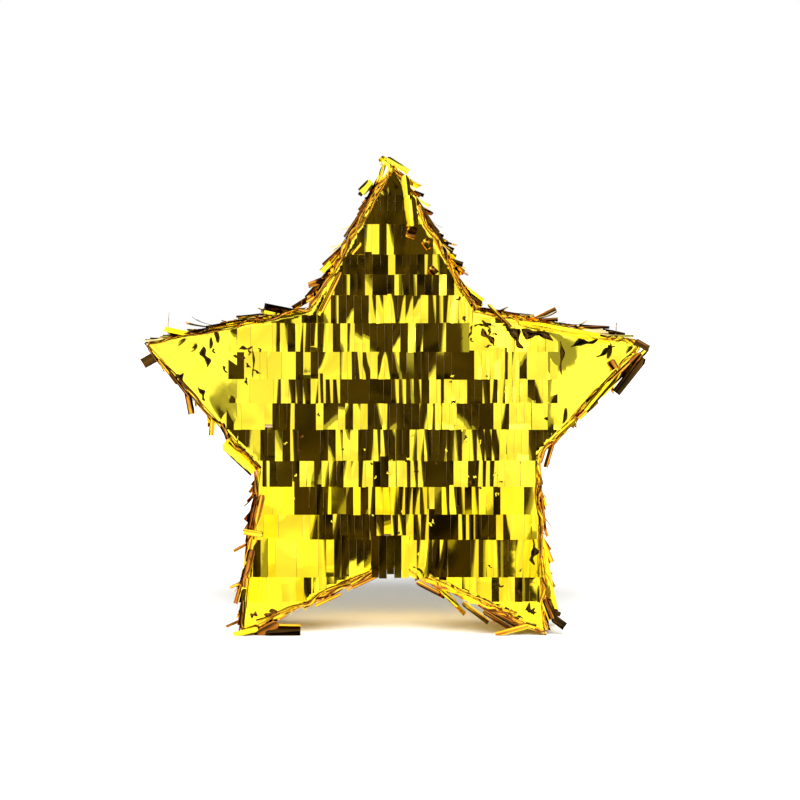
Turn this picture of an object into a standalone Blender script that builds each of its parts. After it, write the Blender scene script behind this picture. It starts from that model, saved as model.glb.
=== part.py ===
"""Five-pointed star pinata: a hollow card box covered in rows of gold foil fringe.

The card box is two star sheets joined by five folded wall strips. Every row of fringe is one
glued-on strip of foil and is its own solid, thin where it is glued and proud at its loose lower
edge. The back sheet has a fill flap that folds out about its top edge.

Frame: +Z up, front towards -Y, origin on the floor midway between the feet. Metres.
"""
import math

import bmesh
import bpy

GAP = 0.0003               # clearance between pieces that lie against each other
WALL_AXIS_TURN = math.radians(36.0)
ARM_NAMES = ["top", "right", "leg_right", "leg_left", "left"]

# Card star
CARD_TIP_R = 0.168         # centre to the point of an arm
CARD_NOTCH_R = 0.0915      # centre to the fold between two arms
CENTRE_Z = 0.1394          # height of the star's centre above the floor
HALF_DEPTH = 0.0355        # centre plane to the outer face of a star sheet
SHEET_T = 0.003
WALL_T = 0.002

# Foil fringe round the walls
SIDE_OUT = 0.0045          # how far the fringe stands off the card walls
BLUNT_R = 0.1735           # centre to the blunt end of a covered arm

# Foil fringe on the front and back
FACE_EDGE_OUT = 0.002      # how far a row's ends reach over the card's edge
LAYER_TOP_T = 0.0010       # thickness of a row where it is glued
LAYER_LOW_T = 0.0022       # thickness of a row at its loose lower edge
ROW_COUNT = 15
ROW_TOP_Z = 0.289          # top of the first row
ROW_PITCH = 0.0177
ARM_SHEET_X = 0.108        # plain foil covers each side arm outside this distance
FACE_LOW_Z = 0.0015        # lowest point of the front and back foil

# Fill opening and flap in the back sheet
FLAP_HALF_W = 0.035
FLAP_FIRST_ROW = 8         # the opening is as high as three rows
FLAP_LAST_ROW = 10
FLAP_FOLD_GAP = 0.0045     # bare card below the fold, so that the flap clears the row above

# Curled end of foil at the top
CURL_R = 0.0032
CURL_T = 0.0008
CURL_WIDTH = 0.008
CURL_Y = -0.022
CURL_DOWN = 0.003          # distance down the left wall from the blunt end
CURL_ARC = math.radians(300.0)
CURL_STEPS = 20

FINISHES = {
    "card": ((0.47, 0.33, 0.19, 1.0), 0.0, 0.9),
    "foil": ((1.0, 0.76, 0.08, 1.0), 1.0, 0.15),
}


def clear_scene():
    """Remove whatever the startup file holds."""
    for item in list(bpy.data.objects):
        bpy.data.objects.remove(item, do_unlink=True)


def make_material(name, finish):
    """Return a new material with the colour, metalness and roughness of a finish."""
    color, metallic, roughness = FINISHES[finish]
    material = bpy.data.materials.new(name)
    material.use_nodes = True
    shader = material.node_tree.nodes["Principled BSDF"]
    shader.inputs["Base Color"].default_value = color
    shader.inputs["Metallic"].default_value = metallic
    shader.inputs["Roughness"].default_value = roughness
    return material


def polar(radius, turn):
    """Return the (x, z) point at a radius, turned clockwise from straight up."""
    return (radius * math.sin(turn), CENTRE_Z + radius * math.cos(turn))


def tip_half_angle():
    """Return half the angle between the two walls that meet at a tip."""
    side = CARD_NOTCH_R * math.sin(WALL_AXIS_TURN)
    along = CARD_TIP_R - CARD_NOTCH_R * math.cos(WALL_AXIS_TURN)
    return math.atan2(side, along)


def tip_radius(offset):
    """Return the tip radius of the card outline moved outwards by offset."""
    return CARD_TIP_R + offset / math.sin(tip_half_angle())


def notch_radius(offset):
    """Return the notch radius of the card outline moved outwards by offset."""
    half_opening = WALL_AXIS_TURN + tip_half_angle()
    return CARD_NOTCH_R + offset / math.sin(half_opening)


def star_outline(offset):
    """Return the ten corners of the card outline moved outwards by offset."""
    corners = []
    for step in range(10):
        radius = notch_radius(offset) if step % 2 else tip_radius(offset)
        corners.append(polar(radius, step * WALL_AXIS_TURN))
    return corners


def clip(outline, normal, limit):
    """Keep the part of an outline where normal . point is at most limit."""
    kept = []
    for index, point in enumerate(outline):
        before = outline[index - 1]
        here = normal[0] * point[0] + normal[1] * point[1] - limit
        last = normal[0] * before[0] + normal[1] * before[1] - limit
        if (here > 0.0) != (last > 0.0):
            share = last / (last - here)
            x = before[0] + share * (point[0] - before[0])
            z = before[1] + share * (point[1] - before[1])
            kept.append((x, z))
        if here <= 0.0:
            kept.append(point)
    return drop_repeats(kept)


def drop_repeats(outline):
    """Leave out corners that fall on the corner before them."""
    kept = []
    for index, point in enumerate(outline):
        before = outline[index - 1]
        if math.hypot(point[0] - before[0], point[1] - before[1]) > 1e-5:
            kept.append(point)
    return kept


def add_object(name, mesh_data, finish):
    """Put a mesh in the scene as a named piece with its own material."""
    piece = bpy.data.objects.new(name, mesh_data)
    bpy.context.scene.collection.objects.link(piece)
    mesh_data.materials.append(make_material(name + "_finish", finish))
    return piece


def prism(name, outline, near_y, far_y, finish):
    """Extrude an outline along Y, between two functions of height that give its faces."""
    shape = bmesh.new()
    near = [shape.verts.new((x, near_y(z), z)) for x, z in outline]
    far = [shape.verts.new((x, far_y(z), z)) for x, z in outline]
    shape.faces.new(near)
    shape.faces.new(list(reversed(far)))
    for index in range(len(outline)):
        after = (index + 1) % len(outline)
        shape.faces.new([near[index], far[index], far[after], near[after]])
    bmesh.ops.recalc_face_normals(shape, faces=shape.faces)
    mesh_data = bpy.data.meshes.new(name)
    shape.to_mesh(mesh_data)
    shape.free()
    return add_object(name, mesh_data, finish)


def slab(name, outline, near_y, far_y, finish):
    """Extrude an outline along Y between two flat faces."""
    return prism(name, outline, lambda z: near_y, lambda z: far_y, finish)


def row_top(row):
    """Return the height of a row's glued top edge."""
    return ROW_TOP_Z - ROW_PITCH * (row - 1)


def row_low(row):
    """Return the height of a row's loose lower edge."""
    return ROW_TOP_Z - ROW_PITCH * row


def fringe_layer(name, outline, side, top_z):
    """Make one layer of foil on a star sheet: side is -1 on the front and 1 on the back."""
    base = HALF_DEPTH + GAP
    slope = (LAYER_LOW_T - LAYER_TOP_T) / ROW_PITCH

    def outer(z):
        """Return the depth of the layer's outer face at a height."""
        proud = min(LAYER_LOW_T, LAYER_TOP_T + slope * max(0.0, top_z - z))
        return side * (base + proud)

    return prism(name, outline, lambda z: side * base, outer, "foil")


def between(outline, low_z, high_z):
    """Keep the part of an outline between two heights, less a small gap at each."""
    lower = clip(outline, (0.0, 1.0), high_z - GAP / 2)
    return clip(lower, (0.0, -1.0), -(low_z + GAP / 2))


def beside(outline, sign, limit):
    """Keep the part of an outline beyond limit on one side: sign is -1 left, 1 right."""
    return clip(outline, (-sign, 0.0), -(limit + GAP / 2))


def inside(outline, limit):
    """Keep the part of an outline within limit of the centre plane."""
    right = clip(outline, (1.0, 0.0), limit - GAP / 2)
    return clip(right, (-1.0, 0.0), limit - GAP / 2)


def face_outline():
    """Return the outline that the foil on the front and back fills."""
    return clip(star_outline(FACE_EDGE_OUT), (0.0, -1.0), -FACE_LOW_Z)


def make_tip_sheets(face, side):
    """Cover the five points of one face with plain foil."""
    outline = face_outline()
    top = clip(outline, (0.0, -1.0), -(ROW_TOP_Z + GAP / 2))
    fringe_layer(face + "_tip_top", top, side, ROW_TOP_Z + ROW_PITCH)
    for word, sign in (("left", -1), ("right", 1)):
        arm = beside(outline, sign, ARM_SHEET_X)
        slab_outer = side * (HALF_DEPTH + GAP + LAYER_TOP_T)
        slab(face + "_tip_" + word, arm, side * (HALF_DEPTH + GAP), slab_outer, "foil")
        leg_top = row_low(ROW_COUNT if side < 0 else ROW_COUNT - 1)
        leg = beside(clip(outline, (0.0, 1.0), leg_top - GAP / 2), sign, 0.0)
        fringe_layer(face + "_tip_leg_" + word, leg, side, leg_top)


def make_row(face, side, row):
    """Make one row of fringe on one face, in two where a gap parts it."""
    name = "%s_row_%02d" % (face, row)
    outline = inside(face_outline(), ARM_SHEET_X)
    band = between(outline, row_low(row), row_top(row))
    half_gap = 0.0 if row == ROW_COUNT else None
    if side > 0 and FLAP_FIRST_ROW <= row <= FLAP_LAST_ROW:
        half_gap = FLAP_HALF_W
    if half_gap is None:
        fringe_layer(name, band, side, row_top(row))
        return
    fringe_layer(name + "_left", beside(band, -1, half_gap), side, row_top(row))
    fringe_layer(name + "_right", beside(band, 1, half_gap), side, row_top(row))


def make_rows():
    """Cover the front and the back with rows of fringe."""
    for row in range(1, ROW_COUNT + 1):
        make_row("front", -1, row)
    for row in range(1, ROW_COUNT):
        make_row("back", 1, row)


def arm_strip(arm, inner_offset, outer_offset):
    """Return the folded strip that runs from notch to notch round one arm."""
    turn = 2 * arm * WALL_AXIS_TURN
    before = turn - WALL_AXIS_TURN
    after = turn + WALL_AXIS_TURN
    strip = [
        polar(notch_radius(outer_offset), before),
        polar(tip_radius(outer_offset), turn),
        polar(notch_radius(outer_offset), after),
        polar(notch_radius(inner_offset), after),
        polar(tip_radius(inner_offset), turn),
        polar(notch_radius(inner_offset), before),
    ]
    for edge_turn, sign in ((before, -1.0), (after, 1.0)):
        normal = (sign * math.cos(edge_turn), -sign * math.sin(edge_turn))
        middle = normal[1] * CENTRE_Z
        strip = clip(strip, normal, middle - GAP / 2)
    return strip


def blunt_end(outline, arm):
    """Cut the point of a covered arm square across its axis."""
    turn = 2 * arm * WALL_AXIS_TURN
    normal = (math.sin(turn), math.cos(turn))
    return clip(outline, normal, normal[1] * CENTRE_Z + BLUNT_R)


def make_walls():
    """Join the two star sheets with five folded strips of card."""
    depth = HALF_DEPTH - SHEET_T - GAP
    for arm, word in enumerate(ARM_NAMES):
        strip = arm_strip(arm, -WALL_T, 0.0)
        slab("card_wall_" + word, strip, -depth, depth, "card")


def make_side_fringe():
    """Wrap the walls of each arm in fringe; the two lower arms stand flat on the floor."""
    for arm, word in enumerate(ARM_NAMES):
        strip = blunt_end(arm_strip(arm, GAP, SIDE_OUT), arm)
        strip = clip(strip, (0.0, -1.0), 0.0)
        slab("side_fringe_" + word, strip, -HALF_DEPTH, HALF_DEPTH, "foil")


def make_star_sheets():
    """Make the front sheet, and the back sheet with its fill opening."""
    inner = HALF_DEPTH - SHEET_T
    slab("card_front", star_outline(0.0), -HALF_DEPTH, -inner, "card")
    back = slab("card_back", star_outline(0.0), inner, HALF_DEPTH, "card")
    hole = opening_outline(0.0)
    cutter = slab("opening_cutter", hole, inner - 0.01, HALF_DEPTH + 0.01, "card")
    cutter.hide_render = True
    cutter.display_type = "WIRE"
    cut = back.modifiers.new("fill_opening", "BOOLEAN")
    cut.operation = "DIFFERENCE"
    cut.solver = "EXACT"
    cut.object = cutter


def opening_outline(inset):
    """Return the fill opening's outline, made smaller all round by inset."""
    low = row_low(FLAP_LAST_ROW) + inset
    high = row_top(FLAP_FIRST_ROW) - inset
    half = FLAP_HALF_W - inset
    return [(-half, low), (half, low), (half, high), (-half, high)]


def set_origin(piece, point):
    """Move a piece's origin without moving its surface."""
    for corner in piece.data.vertices:
        corner.co = (corner.co[0], corner.co[1] - point[1], corner.co[2] - point[2])
    piece.location = point


def make_flap():
    """Make the card flap and the rows of fringe on it, which turn about the top fold."""
    fold = (0.0, HALF_DEPTH, row_top(FLAP_FIRST_ROW))
    inner = HALF_DEPTH - SHEET_T
    flap = slab("fill_flap", opening_outline(GAP), inner, HALF_DEPTH, "card")
    set_origin(flap, fold)
    for row in range(FLAP_FIRST_ROW, FLAP_LAST_ROW + 1):
        high = row_top(row)
        outline = clip(opening_outline(GAP), (0.0, 1.0), fold[2] - FLAP_FOLD_GAP)
        band = between(outline, row_low(row), high)
        fringe = fringe_layer("flap_row_%02d" % row, band, 1, high)
        set_origin(fringe, fold)


def arc_points(centre, radius, start, sweep):
    """Return points along an arc in the XZ plane."""
    points = []
    for step in range(CURL_STEPS + 1):
        angle = start + sweep * step / CURL_STEPS
        points.append((centre[0] + radius * math.cos(angle), centre[1] + radius * math.sin(angle)))
    return points


def make_tip_curl():
    """Make the small curl of foil that stands on the left of the top point."""
    lean = tip_half_angle()
    along = (-math.sin(lean), -math.cos(lean))
    outward = (-math.cos(lean), math.sin(lean))
    top_z = CENTRE_Z + BLUNT_R
    half_end = (tip_radius(SIDE_OUT) - BLUNT_R) * math.tan(lean)
    stand = CURL_R + GAP
    centre = (
        -half_end + along[0] * CURL_DOWN + outward[0] * stand,
        top_z + along[1] * CURL_DOWN + outward[1] * stand,
    )
    start = -lean + math.radians(30.0)
    outer = arc_points(centre, CURL_R, start, CURL_ARC)
    inner = arc_points(centre, CURL_R - CURL_T, start, CURL_ARC)
    outline = outer + list(reversed(inner))
    slab("tip_curl", outline, CURL_Y, CURL_Y + CURL_WIDTH, "foil")


def main():
    """Build every piece of the pinata."""
    clear_scene()
    make_star_sheets()
    make_walls()
    make_side_fringe()
    for face, side in (("front", -1), ("back", 1)):
        make_tip_sheets(face, side)
    make_rows()
    make_flap()
    make_tip_curl()


main()
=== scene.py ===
"""Gold foil star pinata: loose foil fringe, folded foil and card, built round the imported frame.

Lengths are in metres. Angles are in degrees where a name ends in _deg and in radians elsewhere.
The star stands in the XZ plane, its front faces -Y and the floor is at z = 0.
"""

import logging
import math
from dataclasses import dataclass, field
from enum import Enum

import bpy
import numpy as np
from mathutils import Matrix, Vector


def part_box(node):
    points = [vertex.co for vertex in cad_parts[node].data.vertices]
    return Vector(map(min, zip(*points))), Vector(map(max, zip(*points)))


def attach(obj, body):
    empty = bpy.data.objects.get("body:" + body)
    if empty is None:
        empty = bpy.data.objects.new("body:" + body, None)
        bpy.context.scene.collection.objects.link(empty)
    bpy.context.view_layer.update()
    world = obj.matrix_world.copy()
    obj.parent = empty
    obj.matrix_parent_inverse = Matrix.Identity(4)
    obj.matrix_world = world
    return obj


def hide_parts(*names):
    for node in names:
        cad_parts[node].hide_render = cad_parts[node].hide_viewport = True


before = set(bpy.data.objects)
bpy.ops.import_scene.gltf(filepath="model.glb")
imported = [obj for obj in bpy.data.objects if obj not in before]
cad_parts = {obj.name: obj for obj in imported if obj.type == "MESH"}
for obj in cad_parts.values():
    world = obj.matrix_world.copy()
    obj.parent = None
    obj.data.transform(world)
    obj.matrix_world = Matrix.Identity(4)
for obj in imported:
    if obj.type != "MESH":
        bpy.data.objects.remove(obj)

LOG = logging.getLogger("star_pinata")
MM = 0.001
FLOOR_CLEAR = 0.0004  # lowest that any foil hangs
CREASE_OFF = 0.0021  # distance of tucks and nicks from the front card
TO_FRONT = np.array([0.0, -1.0, 0.0])
HALF_POINT = math.radians(36.0)  # angle from an arm's middle to the next notch
# Past open gold the tone scale paints bounced light, fold shade and dark reflection; near gold it is random
# tone.
TONE_AND_SHADE_ATTRIBUTE = "amber"  # the meshes' place on the film's tone scale
WHITE = (1.0, 1.0, 1.0, 1.0)
WARM_DARK = (1.0, 0.70, 0.40, 1.0)
# Panels of the front with many wide strips that lean outwards: left, right, low and high limits.
FRONT_PANELS = (
    (0.036, 0.115, 0.160, 0.218),
    (-0.125, -0.080, 0.150, 0.200),
    (-0.100, -0.062, 0.020, 0.100),
    (0.070, 0.110, 0.060, 0.140),
)
# How far each front row hangs below its even place, top row first.
FRONT_ROW_DROPS = (
    0.0013, 0.0033, -0.0013, -0.0055, -0.0050, -0.0039, -0.0037, -0.0056,
    -0.0062, -0.0033, -0.0038, -0.0033, -0.0045, 0.0026, 0.0010,
)


class Face(Enum):
    """The two flat sides of the star; the value is the side's direction along Y."""

    FRONT = -1
    BACK = 1


class Arm(Enum):
    """The five arms, clockwise from the top seen from the front."""

    TOP = 0
    RIGHT = 1
    LEG_RIGHT = 2
    LEG_LEFT = 3
    LEFT = 4


# ------------------------------
# Shape of the star
# ------------------------------


@dataclass(frozen=True)
class Wall:
    """One straight edge wall of the star, listed from its upper end to its lower end.

    Attributes:
        top: upper end of the wall in (x, z).
        down: unit direction along the wall, downhill.
        out: unit direction out of the star, square to the wall.
        length: length of the wall.
        ends_in_tip: whether the lower end is the point of an arm rather than a notch.
    """

    top: np.ndarray
    down: np.ndarray
    out: np.ndarray
    length: float
    ends_in_tip: bool


@dataclass(frozen=True)
class StarShape:
    """Outline of the card star and the distance of its faces from the centre plane.

    Attributes:
        tip_r: distance of the points from the centre.
        notch_r: distance of the notches from the centre.
        centre_z: height of the centre.
        half_depth: distance of each face from the centre plane.
        slack_corner: the corner where the foil is slack, counted clockwise from the top point.
        slack: how far the foil's corner stands off the card's there, in (x, z).
        bend_r: radius at which foil folds over the card's edge.
    """

    tip_r: float
    notch_r: float
    centre_z: float
    half_depth: float
    slack_corner: int = 3
    slack: tuple[float, float] = (0.0070, 0.0072)
    bend_r: float = 0.0012

    @classmethod
    def from_frame(cls) -> "StarShape":
        """Read the star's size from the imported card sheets.

        Returns:
            The outline that the card sheets and the top wall strip were cut to.
        """
        low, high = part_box("card_front")
        tip_r = (high[0] - low[0]) / 2 / math.sin(2 * HALF_POINT)
        wall_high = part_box("card_wall_top")[1]
        notch_r = wall_high[0] / math.sin(HALF_POINT)
        return cls(tip_r, notch_r, high[2] - tip_r, -low[1])

    def corners(self) -> np.ndarray:
        """Give the ten corners clockwise from the top point; the foil is slack across one notch.

        Returns:
            An array of ten (x, z) points.
        """
        turns = HALF_POINT * np.arange(10)
        radius = np.where(np.arange(10) % 2 == 0, self.tip_r, self.notch_r)
        corners = np.stack([radius * np.sin(turns), self.centre_z + radius * np.cos(turns)], axis=1)
        corners[self.slack_corner] += self.slack
        return corners

    def walls(self, arm: Arm) -> list[Wall]:
        """Give the two walls of an arm.

        Args:
            arm: which arm.

        Returns:
            The wall before the point and the wall after it, clockwise.
        """
        corners = self.corners()
        made = []
        for first in (2 * arm.value - 1, 2 * arm.value):
            start, end = corners[first % 10], corners[(first + 1) % 10]
            along = (end - start) / np.linalg.norm(end - start)
            out = np.array([-along[1], along[0]])
            length = float(np.linalg.norm(end - start))
            tip_last = (first + 1) % 2 == 0
            if along[1] <= 0:
                made.append(Wall(start, along, out, length, tip_last))
            else:
                made.append(Wall(end, -along, out, length, not tip_last))
        return made

    def measure(self, x: np.ndarray, z: np.ndarray) -> tuple[np.ndarray, np.ndarray, np.ndarray]:
        """Measure points against the outline.

        Args:
            x: positions across.
            z: heights.

        Returns:
            The distance outside the outline (negative inside), the nearest point on it and the
            outward direction there.
        """
        corners = self.corners()
        points = np.stack([x.ravel(), z.ravel()], axis=1)
        best = np.full(len(points), math.inf)
        near = np.zeros_like(points)
        out = np.zeros_like(points)
        inside = np.zeros(len(points), bool)
        for index in range(10):
            start, end = corners[index], corners[(index + 1) % 10]
            edge = end - start
            share = np.clip((points - start) @ edge / (edge @ edge), 0, 1)
            spot = start + share[:, None] * edge
            gap = np.linalg.norm(points - spot, axis=1)
            closer = gap < best
            best[closer], near[closer] = gap[closer], spot[closer]
            out[closer] = np.array([-edge[1], edge[0]]) / np.linalg.norm(edge)
            crosses = (start[1] > points[:, 1]) != (end[1] > points[:, 1])
            rise = end[1] - start[1] if abs(end[1] - start[1]) > 1e-12 else 1e-12
            cut = start[0] + (points[:, 1] - start[1]) * edge[0] / rise
            inside ^= crosses & (points[:, 0] < cut)
        distance = np.where(inside, -best, best)
        shape = x.shape
        return distance.reshape(shape), near.reshape(shape + (2,)), out.reshape(shape + (2,))

    def lay(self, x: np.ndarray, z: np.ndarray, lift: np.ndarray, face: Face) -> np.ndarray:
        """Lay foil on a face and turn what passes the card's edge back over it.

        Args:
            x: positions across, before folding.
            z: heights, before folding.
            lift: how far the foil stands off the card.
            face: the side it lies on.

        Returns:
            The points in space, with a last axis of three.
        """
        over, near, out = self.measure(x, z)
        over = np.maximum(over, 0.0)
        angle = np.minimum(over / self.bend_r, math.pi / 2)
        deep = self.bend_r * (1 - np.cos(angle)) + np.maximum(0.0, over - self.bend_r * math.pi / 2)
        aside = np.sin(angle) * (self.bend_r + lift)
        outside = over > 0
        flat_x = np.where(outside, near[..., 0] + out[..., 0] * aside, x)
        flat_z = np.where(outside, near[..., 1] + out[..., 1] * aside, z)
        stand = self.half_depth + lift * np.cos(angle) - deep
        return np.stack([flat_x, face.value * stand, flat_z], axis=-1)


# ------------------------------
# Foil meshes
# ------------------------------


def put_in_scene(name: str, data: bpy.types.ID) -> bpy.types.Object:
    """Make an object that shows some data.

    Args:
        name: the object's name.
        data: its mesh, light or camera.

    Returns:
        The new object, linked to the scene.
    """
    item = bpy.data.objects.new(name, data)
    bpy.context.scene.collection.objects.link(item)
    return item


@dataclass
class FoilMesh:
    """Gathers grids of points into one mesh of thin film."""

    points: list[np.ndarray] = field(default_factory=list)
    quads: list[np.ndarray] = field(default_factory=list)
    shades: list[np.ndarray] = field(default_factory=list)
    count: int = 0

    def add_grid(
        self, grid: np.ndarray, tone: float | np.ndarray = 0.0, keep: np.ndarray | None = None
    ) -> None:
        """Add one grid.

        Args:
            grid: points in rows and columns, with a last axis of three.
            tone: place on the film's tone scale, for the whole grid or for each point.
            keep: which points may be used; a quad with any other corner is left out.
        """
        rows, columns = grid.shape[:2]
        index = self.count + np.arange(rows * columns).reshape(rows, columns)
        quads = np.stack([index[:-1, :-1], index[:-1, 1:], index[1:, 1:], index[1:, :-1]], axis=-1)
        quads = quads.reshape(-1, 4)
        if keep is not None:
            good = keep.ravel()[quads - self.count].all(axis=1)
            quads = quads[good]
        flat = grid.reshape(-1, 3).copy()
        flat[:, 2] = np.maximum(flat[:, 2], FLOOR_CLEAR)
        self.points.append(flat)
        self.quads.append(quads)
        self.shades.append((np.zeros((rows, columns)) + tone).ravel())
        self.count += rows * columns

    def to_object(self, name: str, material: bpy.types.Material) -> bpy.types.Object:
        """Make the mesh and put it in the scene.

        Args:
            name: the piece's name.
            material: its finish.

        Returns:
            The new object, shaded smooth.
        """
        points, quads = np.concatenate(self.points), np.concatenate(self.quads)
        shades = np.concatenate(self.shades)
        used = np.unique(quads)
        new_index = np.zeros(len(points), int)
        new_index[used] = np.arange(len(used))
        mesh = bpy.data.meshes.new(name)
        mesh.from_pydata(points[used].tolist(), [], new_index[quads].tolist())
        shade = mesh.attributes.new(TONE_AND_SHADE_ATTRIBUTE, "FLOAT", "POINT")
        shade.data.foreach_set("value", shades[used].astype(np.float32))
        mesh.polygons.foreach_set("use_smooth", np.ones(len(quads), bool))
        mesh.materials.append(material)
        mesh.update()
        return put_in_scene(name, mesh)


@dataclass(frozen=True)
class StripForm:
    """How one cut strip of foil hangs.

    Attributes:
        turn: lean to one side about its length.
        twist: how much that lean changes from root to end.
        bow: difference in lean between its two long edges.
        lift: angle off the surface at its root.
        curl: further angle off the surface at its end.
        hook: further angle reached over the last fifth of its length.
    """

    turn: float
    twist: float
    bow: float
    lift: float
    curl: float
    hook: float = 0.0


def strip_grid(
    width: float, length: float, form: StripForm, across: int, along: int
) -> tuple[np.ndarray, np.ndarray, np.ndarray]:
    """Shape one strip in its own frame.

    Args:
        width: width of the strip.
        length: length of the strip.
        form: how it hangs.
        across: points across its width.
        along: points along its length.

    Returns:
        Three arrays of one shape: distance across, distance along and height off the surface.
    """
    side = np.linspace(-0.5, 0.5, across)[None, :]
    down = np.linspace(0.0, 1.0, along)[:, None]
    middle = (down[1:, 0] + down[:-1, 0]) / 2
    hook_from, hook_gain = 0.8, 5
    hooked = form.hook * np.maximum(0.0, middle - hook_from) * hook_gain
    angle = form.lift + form.curl * middle**2 + hooked
    step = length / (along - 1)
    run = np.concatenate([[0.0], np.cumsum(np.cos(angle) * step)])[:, None]
    rise = np.concatenate([[0.0], np.cumsum(np.sin(angle) * step)])[:, None]
    tilt = width * side * (form.turn + form.twist * down)
    arch = width * form.bow * (side**2 - 0.25) / 2
    ones = np.ones((along, across))
    return width * side * ones, run * ones, rise * ones + tilt + arch


def finish_piece(piece: bpy.types.Object, body: str, nodes: tuple = ()) -> bpy.types.Object:
    """Fasten a new piece to the frame and report it.

    Args:
        piece: the new object.
        body: the body it moves with.
        nodes: CAD nodes that it stands for.

    Returns:
        The same object.
    """
    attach(piece, body)
    if nodes:
        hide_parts(*nodes)
    LOG.info("%s: %d faces on %s", piece.name, len(piece.data.polygons), body)
    return piece


# ------------------------------
# Finishes
# ------------------------------


def add_node(tree: bpy.types.NodeTree, kind: str, **values: object) -> bpy.types.Node:
    """Add a shader node and set its plain properties.

    Args:
        tree: the node tree.
        kind: the node's type name.
        **values: attributes to set on the node.

    Returns:
        The new node.
    """
    node = tree.nodes.new(kind)
    for key, value in values.items():
        setattr(node, key, value)
    return node


def feed(
    tree: bpy.types.NodeTree, source: bpy.types.NodeSocket | float | tuple, target: bpy.types.NodeSocket
) -> None:
    """Link a socket to another, or set a plain value on it.

    Args:
        tree: the node tree.
        source: the socket or value that is given.
        target: the socket that takes it.
    """
    if isinstance(source, bpy.types.NodeSocket):
        tree.links.new(source, target)
    else:
        target.default_value = source


def add_noise(
    tree: bpy.types.NodeTree,
    where: bpy.types.NodeSocket,
    scale: bpy.types.NodeSocket | float,
    detail: float = 2.0,
    roughness: float = 0.5,
) -> bpy.types.NodeSocket:
    """Add a noise texture.

    Args:
        tree: the node tree.
        where: the coordinates that it reads.
        scale: how fine it is.
        detail: how many finer layers it has.
        roughness: how strong the finer layers are.

    Returns:
        The noise's value.
    """
    noise = add_node(tree, "ShaderNodeTexNoise")
    values = {"Vector": where, "Scale": scale, "Detail": detail, "Roughness": roughness}
    for label, value in values.items():
        feed(tree, value, noise.inputs[label])
    return noise.outputs["Fac"]


def add_range(
    tree: bpy.types.NodeTree, value: bpy.types.NodeSocket, given: tuple, wanted: tuple, **settings: object
) -> bpy.types.NodeSocket:
    """Add a node that moves a value from one range to another.

    Args:
        tree: the node tree.
        value: the value.
        given: the two ends of the range that it comes in.
        wanted: the two ends of the range that it leaves in.
        **settings: attributes to set on the node.

    Returns:
        The moved value.
    """
    moved = add_node(tree, "ShaderNodeMapRange", **settings)
    feed(tree, value, moved.inputs["Value"])
    for label, end in zip(("From Min", "From Max", "To Min", "To Max"), (*given, *wanted)):
        feed(tree, end, moved.inputs[label])
    return moved.outputs["Result"]


def add_math(
    tree: bpy.types.NodeTree, operation: str, *terms: bpy.types.NodeSocket | float
) -> bpy.types.NodeSocket:
    """Add a sum.

    Args:
        tree: the node tree.
        operation: the kind of sum.
        *terms: its terms, in order.

    Returns:
        The result.
    """
    node = add_node(tree, "ShaderNodeMath", operation=operation)
    for index, term in enumerate(terms):
        feed(tree, term, node.inputs[index])
    return node.outputs["Value"]


def mix_shaders(
    tree: bpy.types.NodeTree,
    share: bpy.types.NodeSocket,
    first: bpy.types.NodeSocket,
    second: bpy.types.NodeSocket,
) -> bpy.types.NodeSocket:
    """Mix two shaders.

    Args:
        tree: the node tree.
        share: the share of the second.
        first: the first shader.
        second: the second shader.

    Returns:
        The mixed shader.
    """
    mixed = add_node(tree, "ShaderNodeMixShader")
    for index, source in enumerate((share, first, second)):
        feed(tree, source, mixed.inputs[index])
    return mixed.outputs["Shader"]


def add_bump(
    tree: bpy.types.NodeTree,
    shader: bpy.types.Node,
    height: bpy.types.NodeSocket,
    strength: float,
    distance: float,
) -> None:
    """Raise the surface of a shader by a height.

    Args:
        tree: the node tree.
        shader: the shader whose normal is bent.
        height: the height.
        strength: how strongly it shows.
        distance: how high it stands.
    """
    bump = add_node(tree, "ShaderNodeBump")
    for label, value in {"Height": height, "Strength": strength, "Distance": distance}.items():
        feed(tree, value, bump.inputs[label])
    feed(tree, bump.outputs["Normal"], shader.inputs["Normal"])


def new_material(name: str) -> bpy.types.Material:
    """Start a material with its own node tree.

    Args:
        name: the material's name.

    Returns:
        The material, with a plain Principled BSDF.
    """
    material = bpy.data.materials.new(name)
    material.use_nodes = True
    return material


def new_group(
    name: str, inputs: tuple, outputs: tuple
) -> tuple[bpy.types.NodeTree, bpy.types.Node, bpy.types.Node]:
    """Start a shader group with named sockets.

    Args:
        name: the group's name.
        inputs: (name, socket type, default) for each input; a default of None is left alone.
        outputs: (name, socket type) for each output.

    Returns:
        The group tree, its input node and its output node.
    """
    group = bpy.data.node_groups.new(name, "ShaderNodeTree")
    for label, kind, default in inputs:
        socket = group.interface.new_socket(label, in_out="INPUT", socket_type=kind)
        if default is not None:
            socket.default_value = default
    for label, kind in outputs:
        group.interface.new_socket(label, in_out="OUTPUT", socket_type=kind)
    return group, add_node(group, "NodeGroupInput"), add_node(group, "NodeGroupOutput")


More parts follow.
